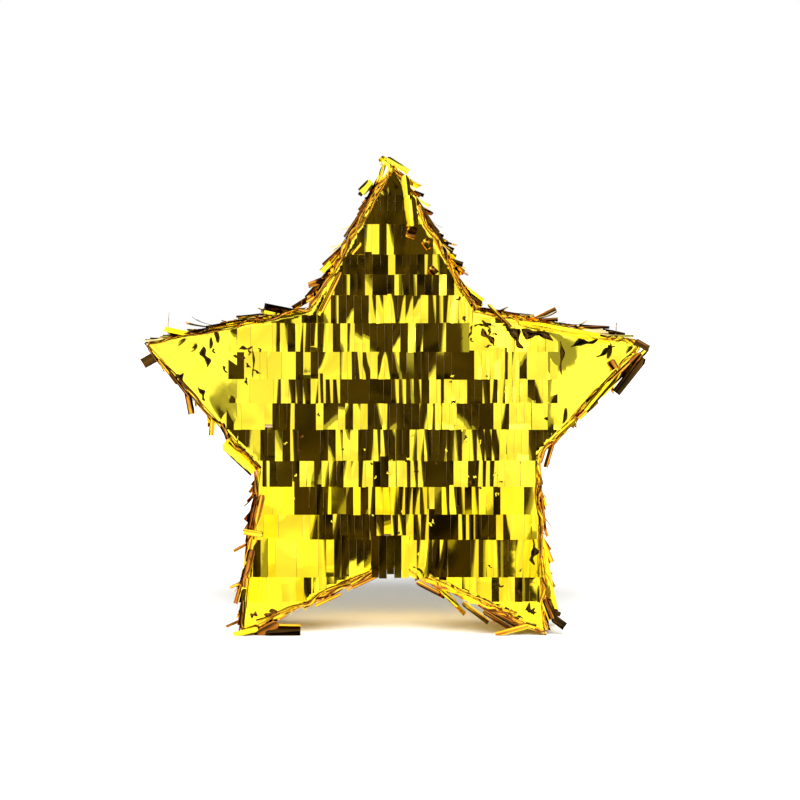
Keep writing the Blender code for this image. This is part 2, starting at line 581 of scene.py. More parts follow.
def foil_crumple_group() -> bpy.types.NodeTree:
    """Make the group for crumpled film: long soft waves crossed by fine sharp folds.

    Returns:
        A group with inputs Vector, Waves, Folds and Fold Share and outputs Height and Rubbed.
    """
    fold_half_width, rub_scale, rub_detail = 0.25, 38.0, 5.0
    group, given, result = new_group(
        "foil_crumple",
        (
            ("Vector", "NodeSocketVector", None),
            ("Waves", "NodeSocketFloat", 90.0),
            ("Folds", "NodeSocketFloat", 160.0),
            ("Fold Share", "NodeSocketFloat", 0.3),
        ),
        (("Height", "NodeSocketFloat"), ("Rubbed", "NodeSocketFloat")),
    )
    where = given.outputs["Vector"]
    waves = add_noise(group, where, given.outputs["Waves"], detail=1.0)
    folds = add_node(group, "ShaderNodeTexVoronoi", feature="DISTANCE_TO_EDGE")
    feed(group, where, folds.inputs["Vector"])
    feed(group, given.outputs["Folds"], folds.inputs["Scale"])
    crest = add_range(group, folds.outputs["Distance"], (0.0, fold_half_width), (1.0, 0.0))
    raised = add_math(group, "MULTIPLY", crest, given.outputs["Fold Share"])
    feed(group, add_math(group, "ADD", waves, raised), result.inputs["Height"])
    feed(group, add_noise(group, where, rub_scale, rub_detail), result.inputs["Rubbed"])
    return group


def paper_fibre_group() -> bpy.types.NodeTree:
    """Make the group for the fibres and flecks of brown card.

    Returns:
        A group with inputs Vector and Grain and outputs Fleck and Height.
    """
    cloud_scale = 24.0
    group, given, result = new_group(
        "paper_fibre",
        (("Vector", "NodeSocketVector", None), ("Grain", "NodeSocketFloat", 900.0)),
        (("Fleck", "NodeSocketFloat"), ("Height", "NodeSocketFloat")),
    )
    where = given.outputs["Vector"]
    grain = add_noise(group, where, given.outputs["Grain"], detail=6.0, roughness=0.65)
    cloud = add_noise(group, where, cloud_scale)
    feed(group, add_math(group, "MULTIPLY", grain, cloud), result.inputs["Fleck"])
    feed(group, grain, result.inputs["Height"])
    return group


@dataclass(frozen=True)
class FoilFinish:
    """Gold metallised film: a near mirror whose tone scale runs from gold through orange and brown to black,
    painting the bounced light, shade and dark reflections of its folds.

    Attributes:
        name: the material's name.
        tones: (place, colour) from open film to the darkest fold; the colours past open film paint bounced
            light, fold shade and dark reflections.
        spread: how far the rub noise shifts the tone either way, painting uneven shade in the creases.
        smooth: roughness of clean film.
        rubbed: roughness of handled film.
        painted_shade_rub: rub noise from which to which the tone shifts, as painted crease shade.
        dull_rub: rub noise from which to which the film grows dull.
        bump: strength of the crumple bump.
        bump_height: height of the crumple bump.
        waves: scale of the long soft waves.
        folds: scale of the sharp folds.
        fold_share: height of the folds against the waves.
    """

    name: str = "gold_film"
    tones: tuple = (
        (0.0, (1.0, 0.83, 0.052, 1.0)),
        (0.12, (1.0, 0.72, 0.008, 1.0)),
        (0.30, (0.90, 0.44, 0.03, 1.0)),
        (0.55, (0.42, 0.13, 0.018, 1.0)),
        (0.80, (0.10, 0.045, 0.008, 1.0)),
        (1.0, (0.016, 0.013, 0.004, 1.0)),
    )
    spread: float = 0.0
    smooth: float = 0.03
    rubbed: float = 0.075
    painted_shade_rub: tuple[float, float] = (0.3, 0.7)
    dull_rub: tuple[float, float] = (0.45, 0.75)
    bump: float = 0.02
    bump_height: float = 0.0006
    waves: float = 60.0
    folds: float = 120.0
    fold_share: float = 0.15

    def build(self, crumple: bpy.types.NodeTree) -> bpy.types.Material:
        """Make the film's material.

        Args:
            crumple: the shared crumple group.

        Returns:
            The material.
        """
        material = new_material(self.name)
        tree = material.node_tree
        shader = tree.nodes["Principled BSDF"]
        shader.inputs["Metallic"].default_value = 1.0
        where = add_node(tree, "ShaderNodeTexCoord").outputs["Object"]
        crumpled = add_node(tree, "ShaderNodeGroup", node_tree=crumple)
        given = {"Vector": where, "Waves": self.waves, "Folds": self.folds, "Fold Share": self.fold_share}
        for label, value in given.items():
            feed(tree, value, crumpled.inputs[label])
        rubbing_and_shade = crumpled.outputs["Rubbed"]
        # The ramp's colours past open gold are painted bounced light, fold shade and dark reflection; the
        # rub noise shift paints crease shade.
        shade = add_node(tree, "ShaderNodeAttribute", attribute_name=TONE_AND_SHADE_ATTRIBUTE).outputs["Fac"]
        shift = add_range(tree, rubbing_and_shade, self.painted_shade_rub, (-self.spread, self.spread), clamp=False)
        ramp = add_node(tree, "ShaderNodeValToRGB")
        stops = ramp.color_ramp.elements
        for index, (place, colour) in enumerate(self.tones):
            stop = stops[index] if index < 2 else stops.new(place)
            stop.position, stop.color = place, colour
        feed(tree, add_math(tree, "ADD", shade, shift), ramp.inputs["Fac"])
        feed(tree, ramp.outputs["Color"], shader.inputs["Base Color"])
        dull = add_range(tree, rubbing_and_shade, self.dull_rub, (self.smooth, self.rubbed))
        feed(tree, dull, shader.inputs["Roughness"])
        add_bump(tree, shader, crumpled.outputs["Height"], self.bump, self.bump_height)
        return material


@dataclass(frozen=True)
class CardFinish:
    """Brown corrugated card: faint flute lines, fibres and flecks.

    Attributes:
        name: the material's name.
        pale: colour of the crests.
        dark: colour of the flecks.
        roughness: roughness of the paper.
        fleck: strength of the fibres from which to which the colour changes.
        flute_scale: scale of the flute lines.
        flute_wander: how far the flute lines stray from straight.
        flute_share: height of the flutes against the fibres.
        bump: strength of the bump.
        bump_height: height of the bump.
    """

    name: str = "brown_card"
    pale: tuple = (0.52, 0.36, 0.21, 1.0)
    dark: tuple = (0.30, 0.19, 0.10, 1.0)
    roughness: float = 0.88
    fleck: tuple[float, float] = (0.12, 0.40)
    flute_scale: float = 42.0
    flute_wander: float = 0.4
    flute_share: float = 0.7
    bump: float = 0.25
    bump_height: float = 0.0004

    def build(self, fibre: bpy.types.NodeTree) -> bpy.types.Material:
        """Make the card's material.

        Args:
            fibre: the shared paper fibre group.

        Returns:
            The material.
        """
        material = new_material(self.name)
        tree = material.node_tree
        shader = tree.nodes["Principled BSDF"]
        shader.inputs["Roughness"].default_value = self.roughness
        where = add_node(tree, "ShaderNodeTexCoord").outputs["Object"]
        fibres = add_node(tree, "ShaderNodeGroup", node_tree=fibre)
        feed(tree, where, fibres.inputs["Vector"])
        flutes = add_node(tree, "ShaderNodeTexWave", bands_direction="X")
        given = {"Vector": where, "Scale": self.flute_scale, "Distortion": self.flute_wander}
        for label, value in given.items():
            feed(tree, value, flutes.inputs[label])
        colour = add_node(tree, "ShaderNodeMix", data_type="RGBA")
        colour.inputs["A"].default_value = self.dark
        colour.inputs["B"].default_value = self.pale
        feed(tree, add_range(tree, fibres.outputs["Fleck"], self.fleck, (0.0, 1.0)), colour.inputs["Factor"])
        feed(tree, colour.outputs["Result"], shader.inputs["Base Color"])
        wave, hair = flutes.outputs["Fac"], fibres.outputs["Height"]
        ribs = add_math(tree, "MULTIPLY_ADD", wave, self.flute_share, hair)
        add_bump(tree, shader, ribs, self.bump, self.bump_height)
        return material


@dataclass
class Finishes:
    """The materials of the pinata, made once and shared."""

    flat_film: bpy.types.Material
    creased_film_painted_shade: bpy.types.Material
    card: bpy.types.Material

    @classmethod
    def build(cls) -> "Finishes":
        """Make every finish.

        Returns:
            The finishes.
        """
        crumple, fibre = foil_crumple_group(), paper_fibre_group()
        # The creased film's rub noise shifts its tone either way, painting uneven shade in the creases.
        creased = FoilFinish("creased_gold_film", spread=0.16, rubbed=0.14, bump=0.16, waves=110.0)
        return cls(FoilFinish().build(crumple), creased.build(crumple), CardFinish().build(fibre))


# ------------------------------
# Rows of fringe on the two faces
# ------------------------------


@dataclass
class FringeRow:
    """One glued row of foil, cut from its lower edge into loose strips.

    Attributes:
        node: the CAD solid that the row stands for.
        face: the side that it lies on.
        body: the body that it moves with.
        star: the star's shape.
        film: its finish.
        seed: seed of its random numbers.
        strip_w: usual width of a strip.
        slit: gap between two strips.
        overlap: how far a strip reaches up under the row above.
        edge_wrap: how far the row is folded over the card's edge.
        stand_off: distance of the foil from the card.
        turn_deg: usual side lean of a strip.
        twist_deg: usual twist of a strip.
        bow_deg: usual bow of a strip.
        pillow: how much the lean changes across the face, as the card bulges.
        low_pillow: share of that in the low rows.
        lift_deg: usual angle off the card at a strip's root, and its spread.
        foot_lift_deg: the same angle in the rows near the floor.
        curl_deg: usual further angle at a strip's end, and its spread.
        hook_deg: least and most bend of a curled end.
        slight_hook_deg: spread of the bend of a plain end.
        curled_share: share of strips with a curled end.
        wide_share: share of wide strips.
        panel_wide_share: the same share in a front panel.
        panel_lean_deg: outward lean of strips in a front panel.
        panel_lean_share: share of strips there that lean.
        short_share: share of strips that are torn off short.
        torn: least and most that those are short.
        tones: least and most tone of the strips.
        low_tones: the same in the low rows.
        swell: least and most length of the row's slow sideways drift.
        drift_deg: greatest lean of that drift.
        overhang: left and right limits of the strips that hang over the notch between the legs.
        overhang_lift: how far those stand off.
        flap_half_w: half the width of the foil that has to clear the flap.
        spike_z: height above which the rows lie calmest.
        calm_z: height below which the rows lie calmer.
        tone_z: height below which the low rows' tones hold.
        foot_z: height below which the strips near the floor stand off more.
    """

    node: str
    face: Face
    body: str
    star: StarShape
    film: bpy.types.Material
    seed: int
    strip_w: float = 0.0049
    slit: float = 0.00014
    overlap: float = 0.0078
    edge_wrap: float = 0.005
    stand_off: float = 0.0004
    turn_deg: float = 4.2
    twist_deg: float = 3.4
    bow_deg: float = 7.0
    pillow: float = 0.36
    low_pillow: float = 0.35
    lift_deg: tuple[float, float] = (1.9, 0.4)
    foot_lift_deg: float = 3.0
    curl_deg: tuple[float, float] = (2.2, 1.1)
    hook_deg: tuple[float, float] = (30.0, 60.0)
    slight_hook_deg: float = 2.5
    curled_share: float = 0.006
    wide_share: float = 0.05
    panel_wide_share: float = 0.5
    panel_lean_deg: float = 4.6
    panel_lean_share: float = 0.9
    short_share: float = 0.04
    torn: tuple[float, float] = (0.0008, 0.004)
    tones: tuple[float, float] = (0.0, 0.04)
    low_tones: tuple[float, float] = (0.05, 0.12)
    swell: tuple[float, float] = (0.06, 0.14)
    drift_deg: float = 1.6
    overhang: tuple[float, float] = (-0.0165, 0.0085)
    overhang_lift: float = 0.0036
    flap_half_w: float = 0.0375
    spike_z: float = 0.205
    calm_z: float = 0.12
    tone_z: float = 0.082
    foot_z: float = 0.065

    def in_panel(self, x: float) -> bool:
        """Tell whether a place lies in a front panel, where wide strips lean outwards.

        Args:
            x: the position across.

        Returns:
            Whether it does.
        """
        middle = sum(self.spans()[2:]) / 2
        panels = FRONT_PANELS if self.face is Face.FRONT else ()
        return any(left < x < right and low < middle < high for left, right, low, high in panels)

    def drop(self) -> float:
        """Give how far the row hangs below its even place, from the uneven gluing of the rows.

        Returns:
            The drop; none beside or on the flap.
        """
        number = int(self.node.split("_")[2])
        if self.body == "flap":
            return 0.0
        if self.face is Face.BACK:
            return 0.0 if number in (7, 8, 9, 10) else 0.0012 * math.sin(number * 2.4)
        return FRONT_ROW_DROPS[number - 1]

    def top_overlap(self, x: float) -> float:
        """Give how far a strip reaches up under the row above; none where it would bar the flap."""
        below_flap = self.node == "back_row_11" and abs(x) < self.flap_half_w
        return 0.0 if below_flap or self.node == "flap_row_08" else self.overlap

    def spans(self) -> tuple[float, float, float, float]:
        """Give the row's left, right, low and high limits from its CAD solid."""
        low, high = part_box(self.node)
        return low[0], high[0], low[2], high[2]

    def ends(self) -> tuple[float, float]:
        """Give the left and right ends, carried past the card where the row ends at its edge.

        Returns:
            The two positions across.
        """
        search, step, probe_up = 0.012, 0.001, 0.002
        left, right, low, high = self.spans()
        heights = np.linspace(low, high, 9)
        ends = []
        for end, sign in ((left, -1), (right, 1)):
            beyond = self.star.measure(np.array([end + sign * search]), np.array([low + probe_up]))[0]
            reach = 0.0
            for out in np.arange(0.0, search, step):
                inside = self.star.measure(np.full(9, end + sign * out), heights)[0] < 0
                reach = out if inside.any() else reach
            ends.append(end + sign * (reach + self.edge_wrap) if beyond[0] > 0 else end)
        return ends[0], ends[1]

    def draw_form(self, rng: np.random.Generator, x: float, drift: float) -> StripForm:
        """Draw how a strip hangs.

        Args:
            rng: the row's random numbers.
            x: the strip's position across.
            drift: the row's slow side lean here.

        Returns:
            The strip's form.
        """
        curled = rng.random() < self.curled_share
        low = self.spans()[2]
        is_low = low < self.calm_z
        tame = 0.55 if low > self.spike_z else 0.8 if is_low else 1.0
        pillow = self.pillow * (self.low_pillow if is_low else 1.0)
        leans = self.in_panel(x) and rng.random() < self.panel_lean_share
        lean = -math.copysign(math.radians(self.panel_lean_deg), x) if leans else 0.0
        side = drift * tame + lean - pillow * x
        lift = self.foot_lift_deg if low < self.foot_z else self.lift_deg[0]
        slight = self.slight_hook_deg
        return StripForm(
            turn=side + math.radians(rng.normal(0.0, self.turn_deg * tame)),
            twist=math.radians(rng.normal(0.0, self.twist_deg * tame)),
            bow=math.radians(rng.normal(0.0, self.bow_deg * tame)),
            lift=math.radians(rng.normal(lift, self.lift_deg[1])),
            curl=math.radians(rng.normal(*self.curl_deg)),
            hook=math.radians(rng.uniform(*self.hook_deg) if curled else max(0.0, rng.normal(0.0, slight))),
        )

    def vary(self, rng: np.random.Generator, form: StripForm) -> StripForm:
        """Give a strip's neighbour nearly the same form.

        Args:
            rng: the row's random numbers.
            form: the strip's form.

        Returns:
            The neighbour's form.
        """
        return StripForm(
            turn=form.turn + math.radians(rng.normal(0.0, 0.9)),
            twist=form.twist + math.radians(rng.normal(0.0, 1.5)),
            bow=form.bow * 0.8 + math.radians(rng.normal(0.0, 2.0)),
            lift=form.lift + math.radians(rng.normal(0.0, 0.2)),
            curl=form.curl + math.radians(rng.normal(0.0, 0.4)),
            hook=min(form.hook, 0.2),
        )

    def add_strip(
        self, foil: FoilMesh, x: float, width: float, short: float, form: StripForm, tone: float
    ) -> None:
        """Add one strip to the row's mesh.

        Args:
            foil: the mesh being gathered.
            x: the strip's middle.
            width: its width.
            short: how much shorter than the row it is.
            form: how it hangs.
            tone: its place on the film's tone scale.
        """
        low, high = self.spans()[2:]
        overlap = self.top_overlap(x)
        length = high - low + overlap + self.drop() - short
        across, along = (4, 10) if width < 0.008 else (7, 12)
        side, down, rise = strip_grid(width, length, form, across, along)
        xs, zs = x + side, high + overlap - down
        lift = np.maximum(self.stand_off + rise, self.stand_off / 2)
        grid = self.star.lay(xs, zs, lift, self.face)
        if self.hangs_free(x):
            out = self.star.half_depth + self.overhang_lift + lift
            grid = np.stack([xs, self.face.value * out, zs], axis=-1)
        foil.add_grid(grid, tone, self.star.measure(xs, zs)[0] < 0.012)

    def hangs_free(self, x: float) -> bool:
        """Tell whether a strip hangs straight over the notch between the legs."""
        return self.node.endswith("row_14") and self.overhang[0] < x < self.overhang[1]

    def build(self) -> bpy.types.Object:
        """Make the whole row.

        Returns:
            The row's object.
        """
        rng = np.random.default_rng(self.seed)
        tone_rng = np.random.default_rng(self.seed + 5000)
        foil = FoilMesh()
        left, right = self.ends()
        tones = self.low_tones if self.spans()[2] < self.tone_z else self.tones
        phase, swell = rng.uniform(0, 2 * math.pi), rng.uniform(*self.swell)
        x, form, repeats = left, None, 0
        while x < right - 0.0015:
            wide = rng.random() < (self.panel_wide_share if self.in_panel(x) else self.wide_share)
            width = self.strip_w * (rng.integers(2, 4) if wide else 1.0) * rng.uniform(0.94, 1.06)
            width = min(width, right - x)
            drift = math.radians(self.drift_deg) * math.sin(2 * math.pi * x / swell + phase)
            if form is None or repeats <= 0:
                form = self.draw_form(rng, x, drift)
                repeats = int(rng.choice([0, 0, 1, 1, 2, 3]))
            else:
                form = self.vary(rng, form)
            if wide:
                form = StripForm(form.turn * 0.6, form.twist * 0.4, form.bow * 0.3, form.lift, form.curl)
            repeats -= 1
            torn = rng.random() < self.short_share
            short = rng.uniform(*self.torn) if torn else rng.normal(0.0, 0.00015)
            self.add_strip(foil, x + width / 2, width - self.slit, short, form, tone_rng.uniform(*tones))
            x += width
        piece = foil.to_object(self.node + "_fringe", self.film)
        return finish_piece(piece, self.body, (self.node,))


# ------------------------------
# Plain foil on the points
# ------------------------------


@dataclass(frozen=True)
class Dent:
    """A lens-shaped dent in plain foil with one sharp crease along its middle."""

    x: float
    z: float
    length: float
    width: float
    lean_deg: float
    slope_deg: float

    def rise(self, x: np.ndarray, z: np.ndarray) -> np.ndarray:
        """Give the dent's height at points of the sheet.

        Args:
            x: positions across.
            z: heights.

        Returns:
            The rise off the flat sheet.
        """
        lean = math.radians(self.lean_deg)
        along = (x - self.x) * math.sin(lean) + (z - self.z) * math.cos(lean)
        across = (x - self.x) * math.cos(lean) - (z - self.z) * math.sin(lean)
        half = self.width / 2 * np.sqrt(np.maximum(0.0, 1 - (2 * along / self.length) ** 2))
        return math.tan(math.radians(self.slope_deg)) * np.maximum(0.0, half - np.abs(across))


@dataclass
class PointFoil:
    """Plain foil over one point of the star, folded back over the card's edges.

    Attributes:
        node: the CAD solid that the sheet stands for.
        face: the side that it lies on.
        star: the star's shape.
        film: its finish.
        seed: seed of its random numbers.
        step: distance between the sheet's points.
        reach_in: how far the sheet runs in under the rows.
        stand_off: distance of the foil from the card.
        wrap: how far the sheet is folded over the card's edge.
        swell: height of its long soft waves.
        dent_count: number of dents.
        pucker_reach: how far in from the edge the puckers run.
        pucker_height: their height.
        leg_tone: tone of the sheets on the legs.
    """

    node: str
    face: Face
    star: StarShape
    film: bpy.types.Material
    seed: int
    step: float = 0.0011
    reach_in: float = 0.007
    stand_off: float = 0.0009
    wrap: float = 0.009
    swell: float = 0.00010
    dent_count: int = 7
    pucker_reach: float = 0.010
    pucker_height: float = 0.00045
    leg_tone: float = 0.07

    def dents(self, rng: np.random.Generator, low: np.ndarray, high: np.ndarray) -> list[Dent]:
        """Scatter dents over the sheet.

        Args:
            rng: the sheet's random numbers.
            low: lower corner of the sheet.
            high: upper corner of the sheet.

        Returns:
            The dents.
        """
        made = []
        for _ in range(self.dent_count):
            x, z = rng.uniform(low[0], high[0]), rng.uniform(low[2], high[2])
            size = rng.uniform(0.005, 0.015)
            slope = rng.uniform(3.0, 7.0) * rng.choice([-1, 1])
            made.append(Dent(x, z, size, size * rng.uniform(0.3, 0.6), rng.normal(0, 28), slope))
        return made

    def edge_puckers(self, x: np.ndarray, z: np.ndarray, rng: np.random.Generator) -> np.ndarray:
        """Give the small puckers where the sheet is pulled round the card's edge.

        Args:
            x: positions across.
            z: heights.
            rng: the sheet's random numbers.

        Returns:
            The rise off the flat sheet.
        """
        inside = -self.star.measure(x, z)[0]
        near = np.clip(1 - inside / self.pucker_reach, 0, 1) * (inside > -0.001)
        phase = rng.uniform(0, 6)
        fold = np.abs(((x * 95 + z * 60 + phase) % 2.0) - 1.0) * (0.5 + 0.5 * np.sin(x * 75 + phase))
        return self.pucker_height * near**2 * fold

    def build(self) -> bpy.types.Object:
        """Make the sheet.

        Returns:
            The sheet's object.
        """
        rng = np.random.default_rng(self.seed)
        low, high = (np.array(corner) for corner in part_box(self.node))
        xs = np.arange(low[0] - self.wrap, high[0] + self.wrap, self.step)
        zs = np.arange(low[2] - self.wrap, high[2] + self.wrap, self.step)
        x, z = np.meshgrid(xs, zs)
        lift = self.stand_off + self.edge_puckers(x, z, rng)
        for dent in self.dents(rng, low, high):
            lift = lift + dent.rise(x, z)
        waves = np.sin(x * 120 + rng.uniform(0, 6)) * np.cos(z * 100 + rng.uniform(0, 6))
        lift = lift + self.swell * waves
        over = self.star.measure(x, z)[0]
        keep = (over < self.wrap) & self.belongs(x, z, low, high)
        foil = FoilMesh()
        tone = self.leg_tone if "leg" in self.node else 0.0
        foil.add_grid(self.star.lay(x, z, np.maximum(lift, 0.0005), self.face), tone, keep)
        piece = foil.to_object(self.node + "_foil", self.film)
        return finish_piece(piece, "star", (self.node,))

    def belongs(self, x: np.ndarray, z: np.ndarray, low: np.ndarray, high: np.ndarray) -> np.ndarray:
        """Tell which points lie on the outer side of the line where the sheet meets the rows.

        Args:
            x: positions across.
            z: heights.
            low: lower corner of the CAD solid.
            high: upper corner of the CAD solid.

        Returns:
            True for the points to keep.
        """
        if self.node.endswith("tip_top"):
            return z > low[2] - 0.001
        if "leg" in self.node:
            side = x < 0.0 if "left" in self.node else x > 0.0
            return side & (z < high[2] + self.reach_in)
        if self.node.endswith("left"):
            return x < high[0] + self.reach_in
        return x > low[0] - self.reach_in


# ------------------------------
# Foil on the walls and edges
# ------------------------------


@dataclass
class WallFringe:
    """Rows of short fringe laid across the two walls of one arm.

    Attributes:
        arm: the arm.
        star: the star's shape.
        film: its finish.
        seed: seed of its random numbers.
        pitch: distance from row to row.
        uneven: least and most share by which rows and strips vary.
        strip_w: width of a strip.
        strip_l: length of a strip.
        slit: gap between two strips.
        base_off: distance of the plain foil under the rows from the card.
        turn_deg: usual side lean of a strip.
        twist_deg: usual twist.
        bow_deg: usual bow.
        lift_deg: least and most angle off the card at the root.
        curl_deg: usual further angle at the end, and its spread.
        stray_share: share of strips that stick out.
        stray_lift_deg: further angle at their root.
        stray_curl_deg: further angle at their end.
        tone: usual tone, and its spread.
    """

    arm: Arm
    star: StarShape
    film: bpy.types.Material
    seed: int
    pitch: float = 0.0165
    uneven: tuple[float, float] = (0.92, 1.08)
    strip_w: float = 0.0049
    strip_l: float = 0.023
    slit: float = 0.00015
    base_off: float = 0.0008
    turn_deg: float = 9.0
    twist_deg: float = 12.0
    bow_deg: float = 10.0
    lift_deg: tuple[float, float] = (2.0, 6.0)
    curl_deg: tuple[float, float] = (4.0, 7.0)
    stray_share: float = 0.07
    stray_lift_deg: tuple[float, float] = (4, 12)
    stray_curl_deg: tuple[float, float] = (10, 40)
    tone: tuple[float, float] = (0.12, 0.15)

    def place(self, wall: Wall, u: np.ndarray, y: np.ndarray, off: np.ndarray) -> np.ndarray:
        """Turn positions on a wall into points in space.

        Args:
            wall: the wall.
            u: distance downhill from the wall's upper end.
            y: depth.
            off: distance off the card.

        Returns:
            The points, with a last axis of three.
        """
        x = wall.top[0] + wall.down[0] * u + wall.out[0] * off
        z = wall.top[1] + wall.down[1] * u + wall.out[1] * off
        return np.stack([x, y, z], axis=-1)

    def add_base(self, foil: FoilMesh, wall: Wall, rng: np.random.Generator) -> None:
        """Add the plain foil under the rows.

        Args:
            foil: the mesh being gathered.
            wall: the wall to cover.
            rng: the arm's random numbers.
        """
        u, y = np.meshgrid(
            np.linspace(0.0, wall.length, 46), np.linspace(-1, 1, 24) * self.star.half_depth, indexing="ij"
        )
        wave = 0.0003 * np.sin(u * 210 + y * 40 + rng.uniform(0, 6))
        foil.add_grid(self.place(wall, u, y, self.base_off + wave))

    def add_rows(self, foil: FoilMesh, wall: Wall, rng: np.random.Generator) -> None:
        """Add every row of strips on one wall.

        Args:
            foil: the mesh being gathered.
            wall: the wall to cover.
            rng: the arm's random numbers.
        """
        beyond = 0.004 if wall.ends_in_tip else 0.001
        start = -0.003
        while start < wall.length - 0.008:
            length = min(self.strip_l, wall.length + beyond - start)
            y = -self.star.half_depth - 0.0005
            while y < self.star.half_depth - 0.002:
                width = self.strip_w * rng.uniform(*self.uneven)
                self.add_strip(foil, wall, rng, start, y + width / 2, width, length)
                y += width
            start += self.pitch * rng.uniform(*self.uneven)

    def add_strip(
        self,
        foil: FoilMesh,
        wall: Wall,
        rng: np.random.Generator,
        start: float,
        y: float,
        width: float,
        length: float,
    ) -> None:
        """Add one strip lying downhill on a wall.

        Args:
            foil: the mesh being gathered.
            wall: the wall.
            rng: the arm's random numbers.
            start: the root's distance down the wall.
            y: the strip's middle depth.
            width: its width.
            length: its length.
        """
        stray = rng.random() < self.stray_share
        form = StripForm(
            turn=math.radians(rng.normal(0.0, self.turn_deg)),
            twist=math.radians(rng.normal(0.0, self.twist_deg)),
            bow=math.radians(rng.normal(0.0, self.bow_deg)),
            lift=math.radians(
                rng.uniform(*self.lift_deg) + (rng.uniform(*self.stray_lift_deg) if stray else 0.0)
            ),
            curl=math.radians(
                rng.normal(*self.curl_deg) + (rng.uniform(*self.stray_curl_deg) if stray else 0.0)
            ),
        )
        side, down, rise = strip_grid(width - self.slit, length * rng.uniform(0.93, 1.03), form, 3, 7)
        off = np.maximum(self.base_off + 0.0004 + rise, self.base_off + 0.0002)
        tone = float(np.clip(rng.normal(*self.tone), 0, 0.6))
        foil.add_grid(self.place(wall, start + down, y + side, off), tone)

    def build(self) -> bpy.types.Object:
        """Make the fringe of both walls.

        Returns:
            The arm's wall fringe.
        """
        rng = np.random.default_rng(self.seed)
        foil = FoilMesh()
        for wall in self.star.walls(self.arm):
            self.add_base(foil, wall, rng)
            self.add_rows(foil, wall, rng)
        name = self.arm.name.lower()
        piece = foil.to_object(name + "_wall_fringe", self.film)
        return finish_piece(piece, "star", ("side_fringe_" + name,))


class Tone(Enum):
    """How dark a loose piece of film looks; the value is its place on the film's tone scale. Past GOLD each
    tone paints light into the colour: warm bounced light, then fold shade and dark reflection.
    """

    GOLD = 0.0
    AMBER = 0.25
    BROWN = 0.5
    DARK = 0.75
    BLACK = 0.95


@dataclass(frozen=True)
class Ribbon:
    """A loose narrow piece of film.

    Attributes:
        root: where it starts.
        along: unit direction in which it runs.
        up: direction towards which its flat side is turned.
        length: its length.
        width: its width.
        roll_deg: turn about its own length.
        twist_deg: further turn at its end.
        arc_deg: how much it bends away from its flat side along its length.
        cup_deg: how much it is bent across its width.
        tone: its place on the film's tone scale.
        highlight_and_shade_streak: how much the tone changes across its width, painting highlight and shade
            lines along its folds.
        leaf: whether it narrows at both ends.
        sweep_deg: how much it curves sideways along its length.
    """

    root: np.ndarray
    along: np.ndarray
    up: np.ndarray
    length: float
    width: float
    roll_deg: float = 0.0
    twist_deg: float = 0.0
    arc_deg: float = 0.0
    cup_deg: float = 0.0
    tone: float = 0.0
    highlight_and_shade_streak: float = 0.16
    leaf: bool = False
    sweep_deg: float = 0.0

    def add_to(self, foil: FoilMesh, across: int = 5, count: int = 9) -> None:
        """Add the ribbon to a mesh.

        Args:
            foil: the mesh being gathered.
            across: points across its width.
            count: points along its length.
        """
        along = self.along / np.linalg.norm(self.along)
        side = np.cross(along, self.up)
        side /= np.linalg.norm(side)
        up = np.cross(side, along)
        share = np.linspace(0.0, 1.0, count)
        bend = np.radians(self.arc_deg) * share
        step = self.length / (count - 1)
        middle = (bend[1:] + bend[:-1]) / 2
        run = np.concatenate([[0.0], np.cumsum(np.cos(middle) * step)])
        rise = np.concatenate([[0.0], np.cumsum(np.sin(middle) * step)])
        roll = np.radians(self.roll_deg + self.twist_deg * share)
        taper = np.minimum(1.0, 0.6 + 6.0 * share)
        sweep = math.radians(self.sweep_deg) * (share - 0.5)
        drift = np.concatenate([[0.0], np.cumsum(np.sin((sweep[1:] + sweep[:-1]) / 2) * step)])
        if self.leaf:
            phase = 700.0 * float(self.root[0] - self.root[2])
            taper = np.sin(math.pi * (0.05 + 0.9 * share**0.8)) * (1 + 0.5 * np.sin(11.0 * share + phase))
            drift = drift + 0.3 * self.width * np.sin(8.0 * share + 2.0 * phase)
        place = np.linspace(-0.5, 0.5, across)
        rows = []
        for index in range(count):
            centre = self.root + along * run[index] + up * rise[index] + side * drift[index]
            normal = up * math.cos(bend[index]) - along * math.sin(bend[index])
            wide = side * math.cos(roll[index]) + normal * math.sin(roll[index])
            flat = normal * math.cos(roll[index]) - side * math.sin(roll[index])
            sag = math.radians(self.cup_deg) * (place**2 - 0.25) * self.width
            rows.append(
                centre + np.outer(place * self.width * taper[index], wide) + np.outer(sag, flat)
            )
        # Tone lines across the width paint highlight and shade lines along the ribbon's folds.
        lines = np.sin(np.arange(across) * 2.2 + 900.0 * float(self.root[0] + self.root[2]))
        foil.add_grid(np.array(rows), np.clip(self.tone + self.highlight_and_shade_streak * lines, 0.0, 1.0)[None, :])


def crease(
    root: np.ndarray, along: np.ndarray, length: float, width: float, tone: float, sweep_deg: float = 0.0
) -> Ribbon:
    """Make a narrow leaf that lies nearly flat on the front, for a tuck or a nick.

    Args:
        root: where it starts.
        along: direction in which it runs.
        length: its length.
        width: its greatest width.
        tone: its place on the film's tone scale.
        sweep_deg: how much it curves sideways.

    Returns:
        The leaf.
    """
    return Ribbon(
        root=root,
        along=along,
        up=TO_FRONT,
        length=length,
        width=width,
        roll_deg=4,
        twist_deg=6,
        arc_deg=3,
        cup_deg=20.0,
        tone=tone,
        highlight_and_shade_streak=0.05,
        leaf=True,
        sweep_deg=sweep_deg,
    )


def smooth_line(rng: np.random.Generator, place: np.ndarray, wave: float) -> np.ndarray:
    """Give a smooth random line between about -1 and 1.

    Args:
        rng: random numbers.
        place: distance along the line.
        wave: the usual distance between crests.

    Returns:
        One value for each distance.
    """
    phases = rng.uniform(0, 2 * math.pi, 3)
    total = np.zeros_like(place)
    for stretch, phase in zip((1.0, 0.61, 1.83), phases):
        total = total + np.sin(2 * math.pi * place / (wave * stretch) + phase)
    return total / 2.2


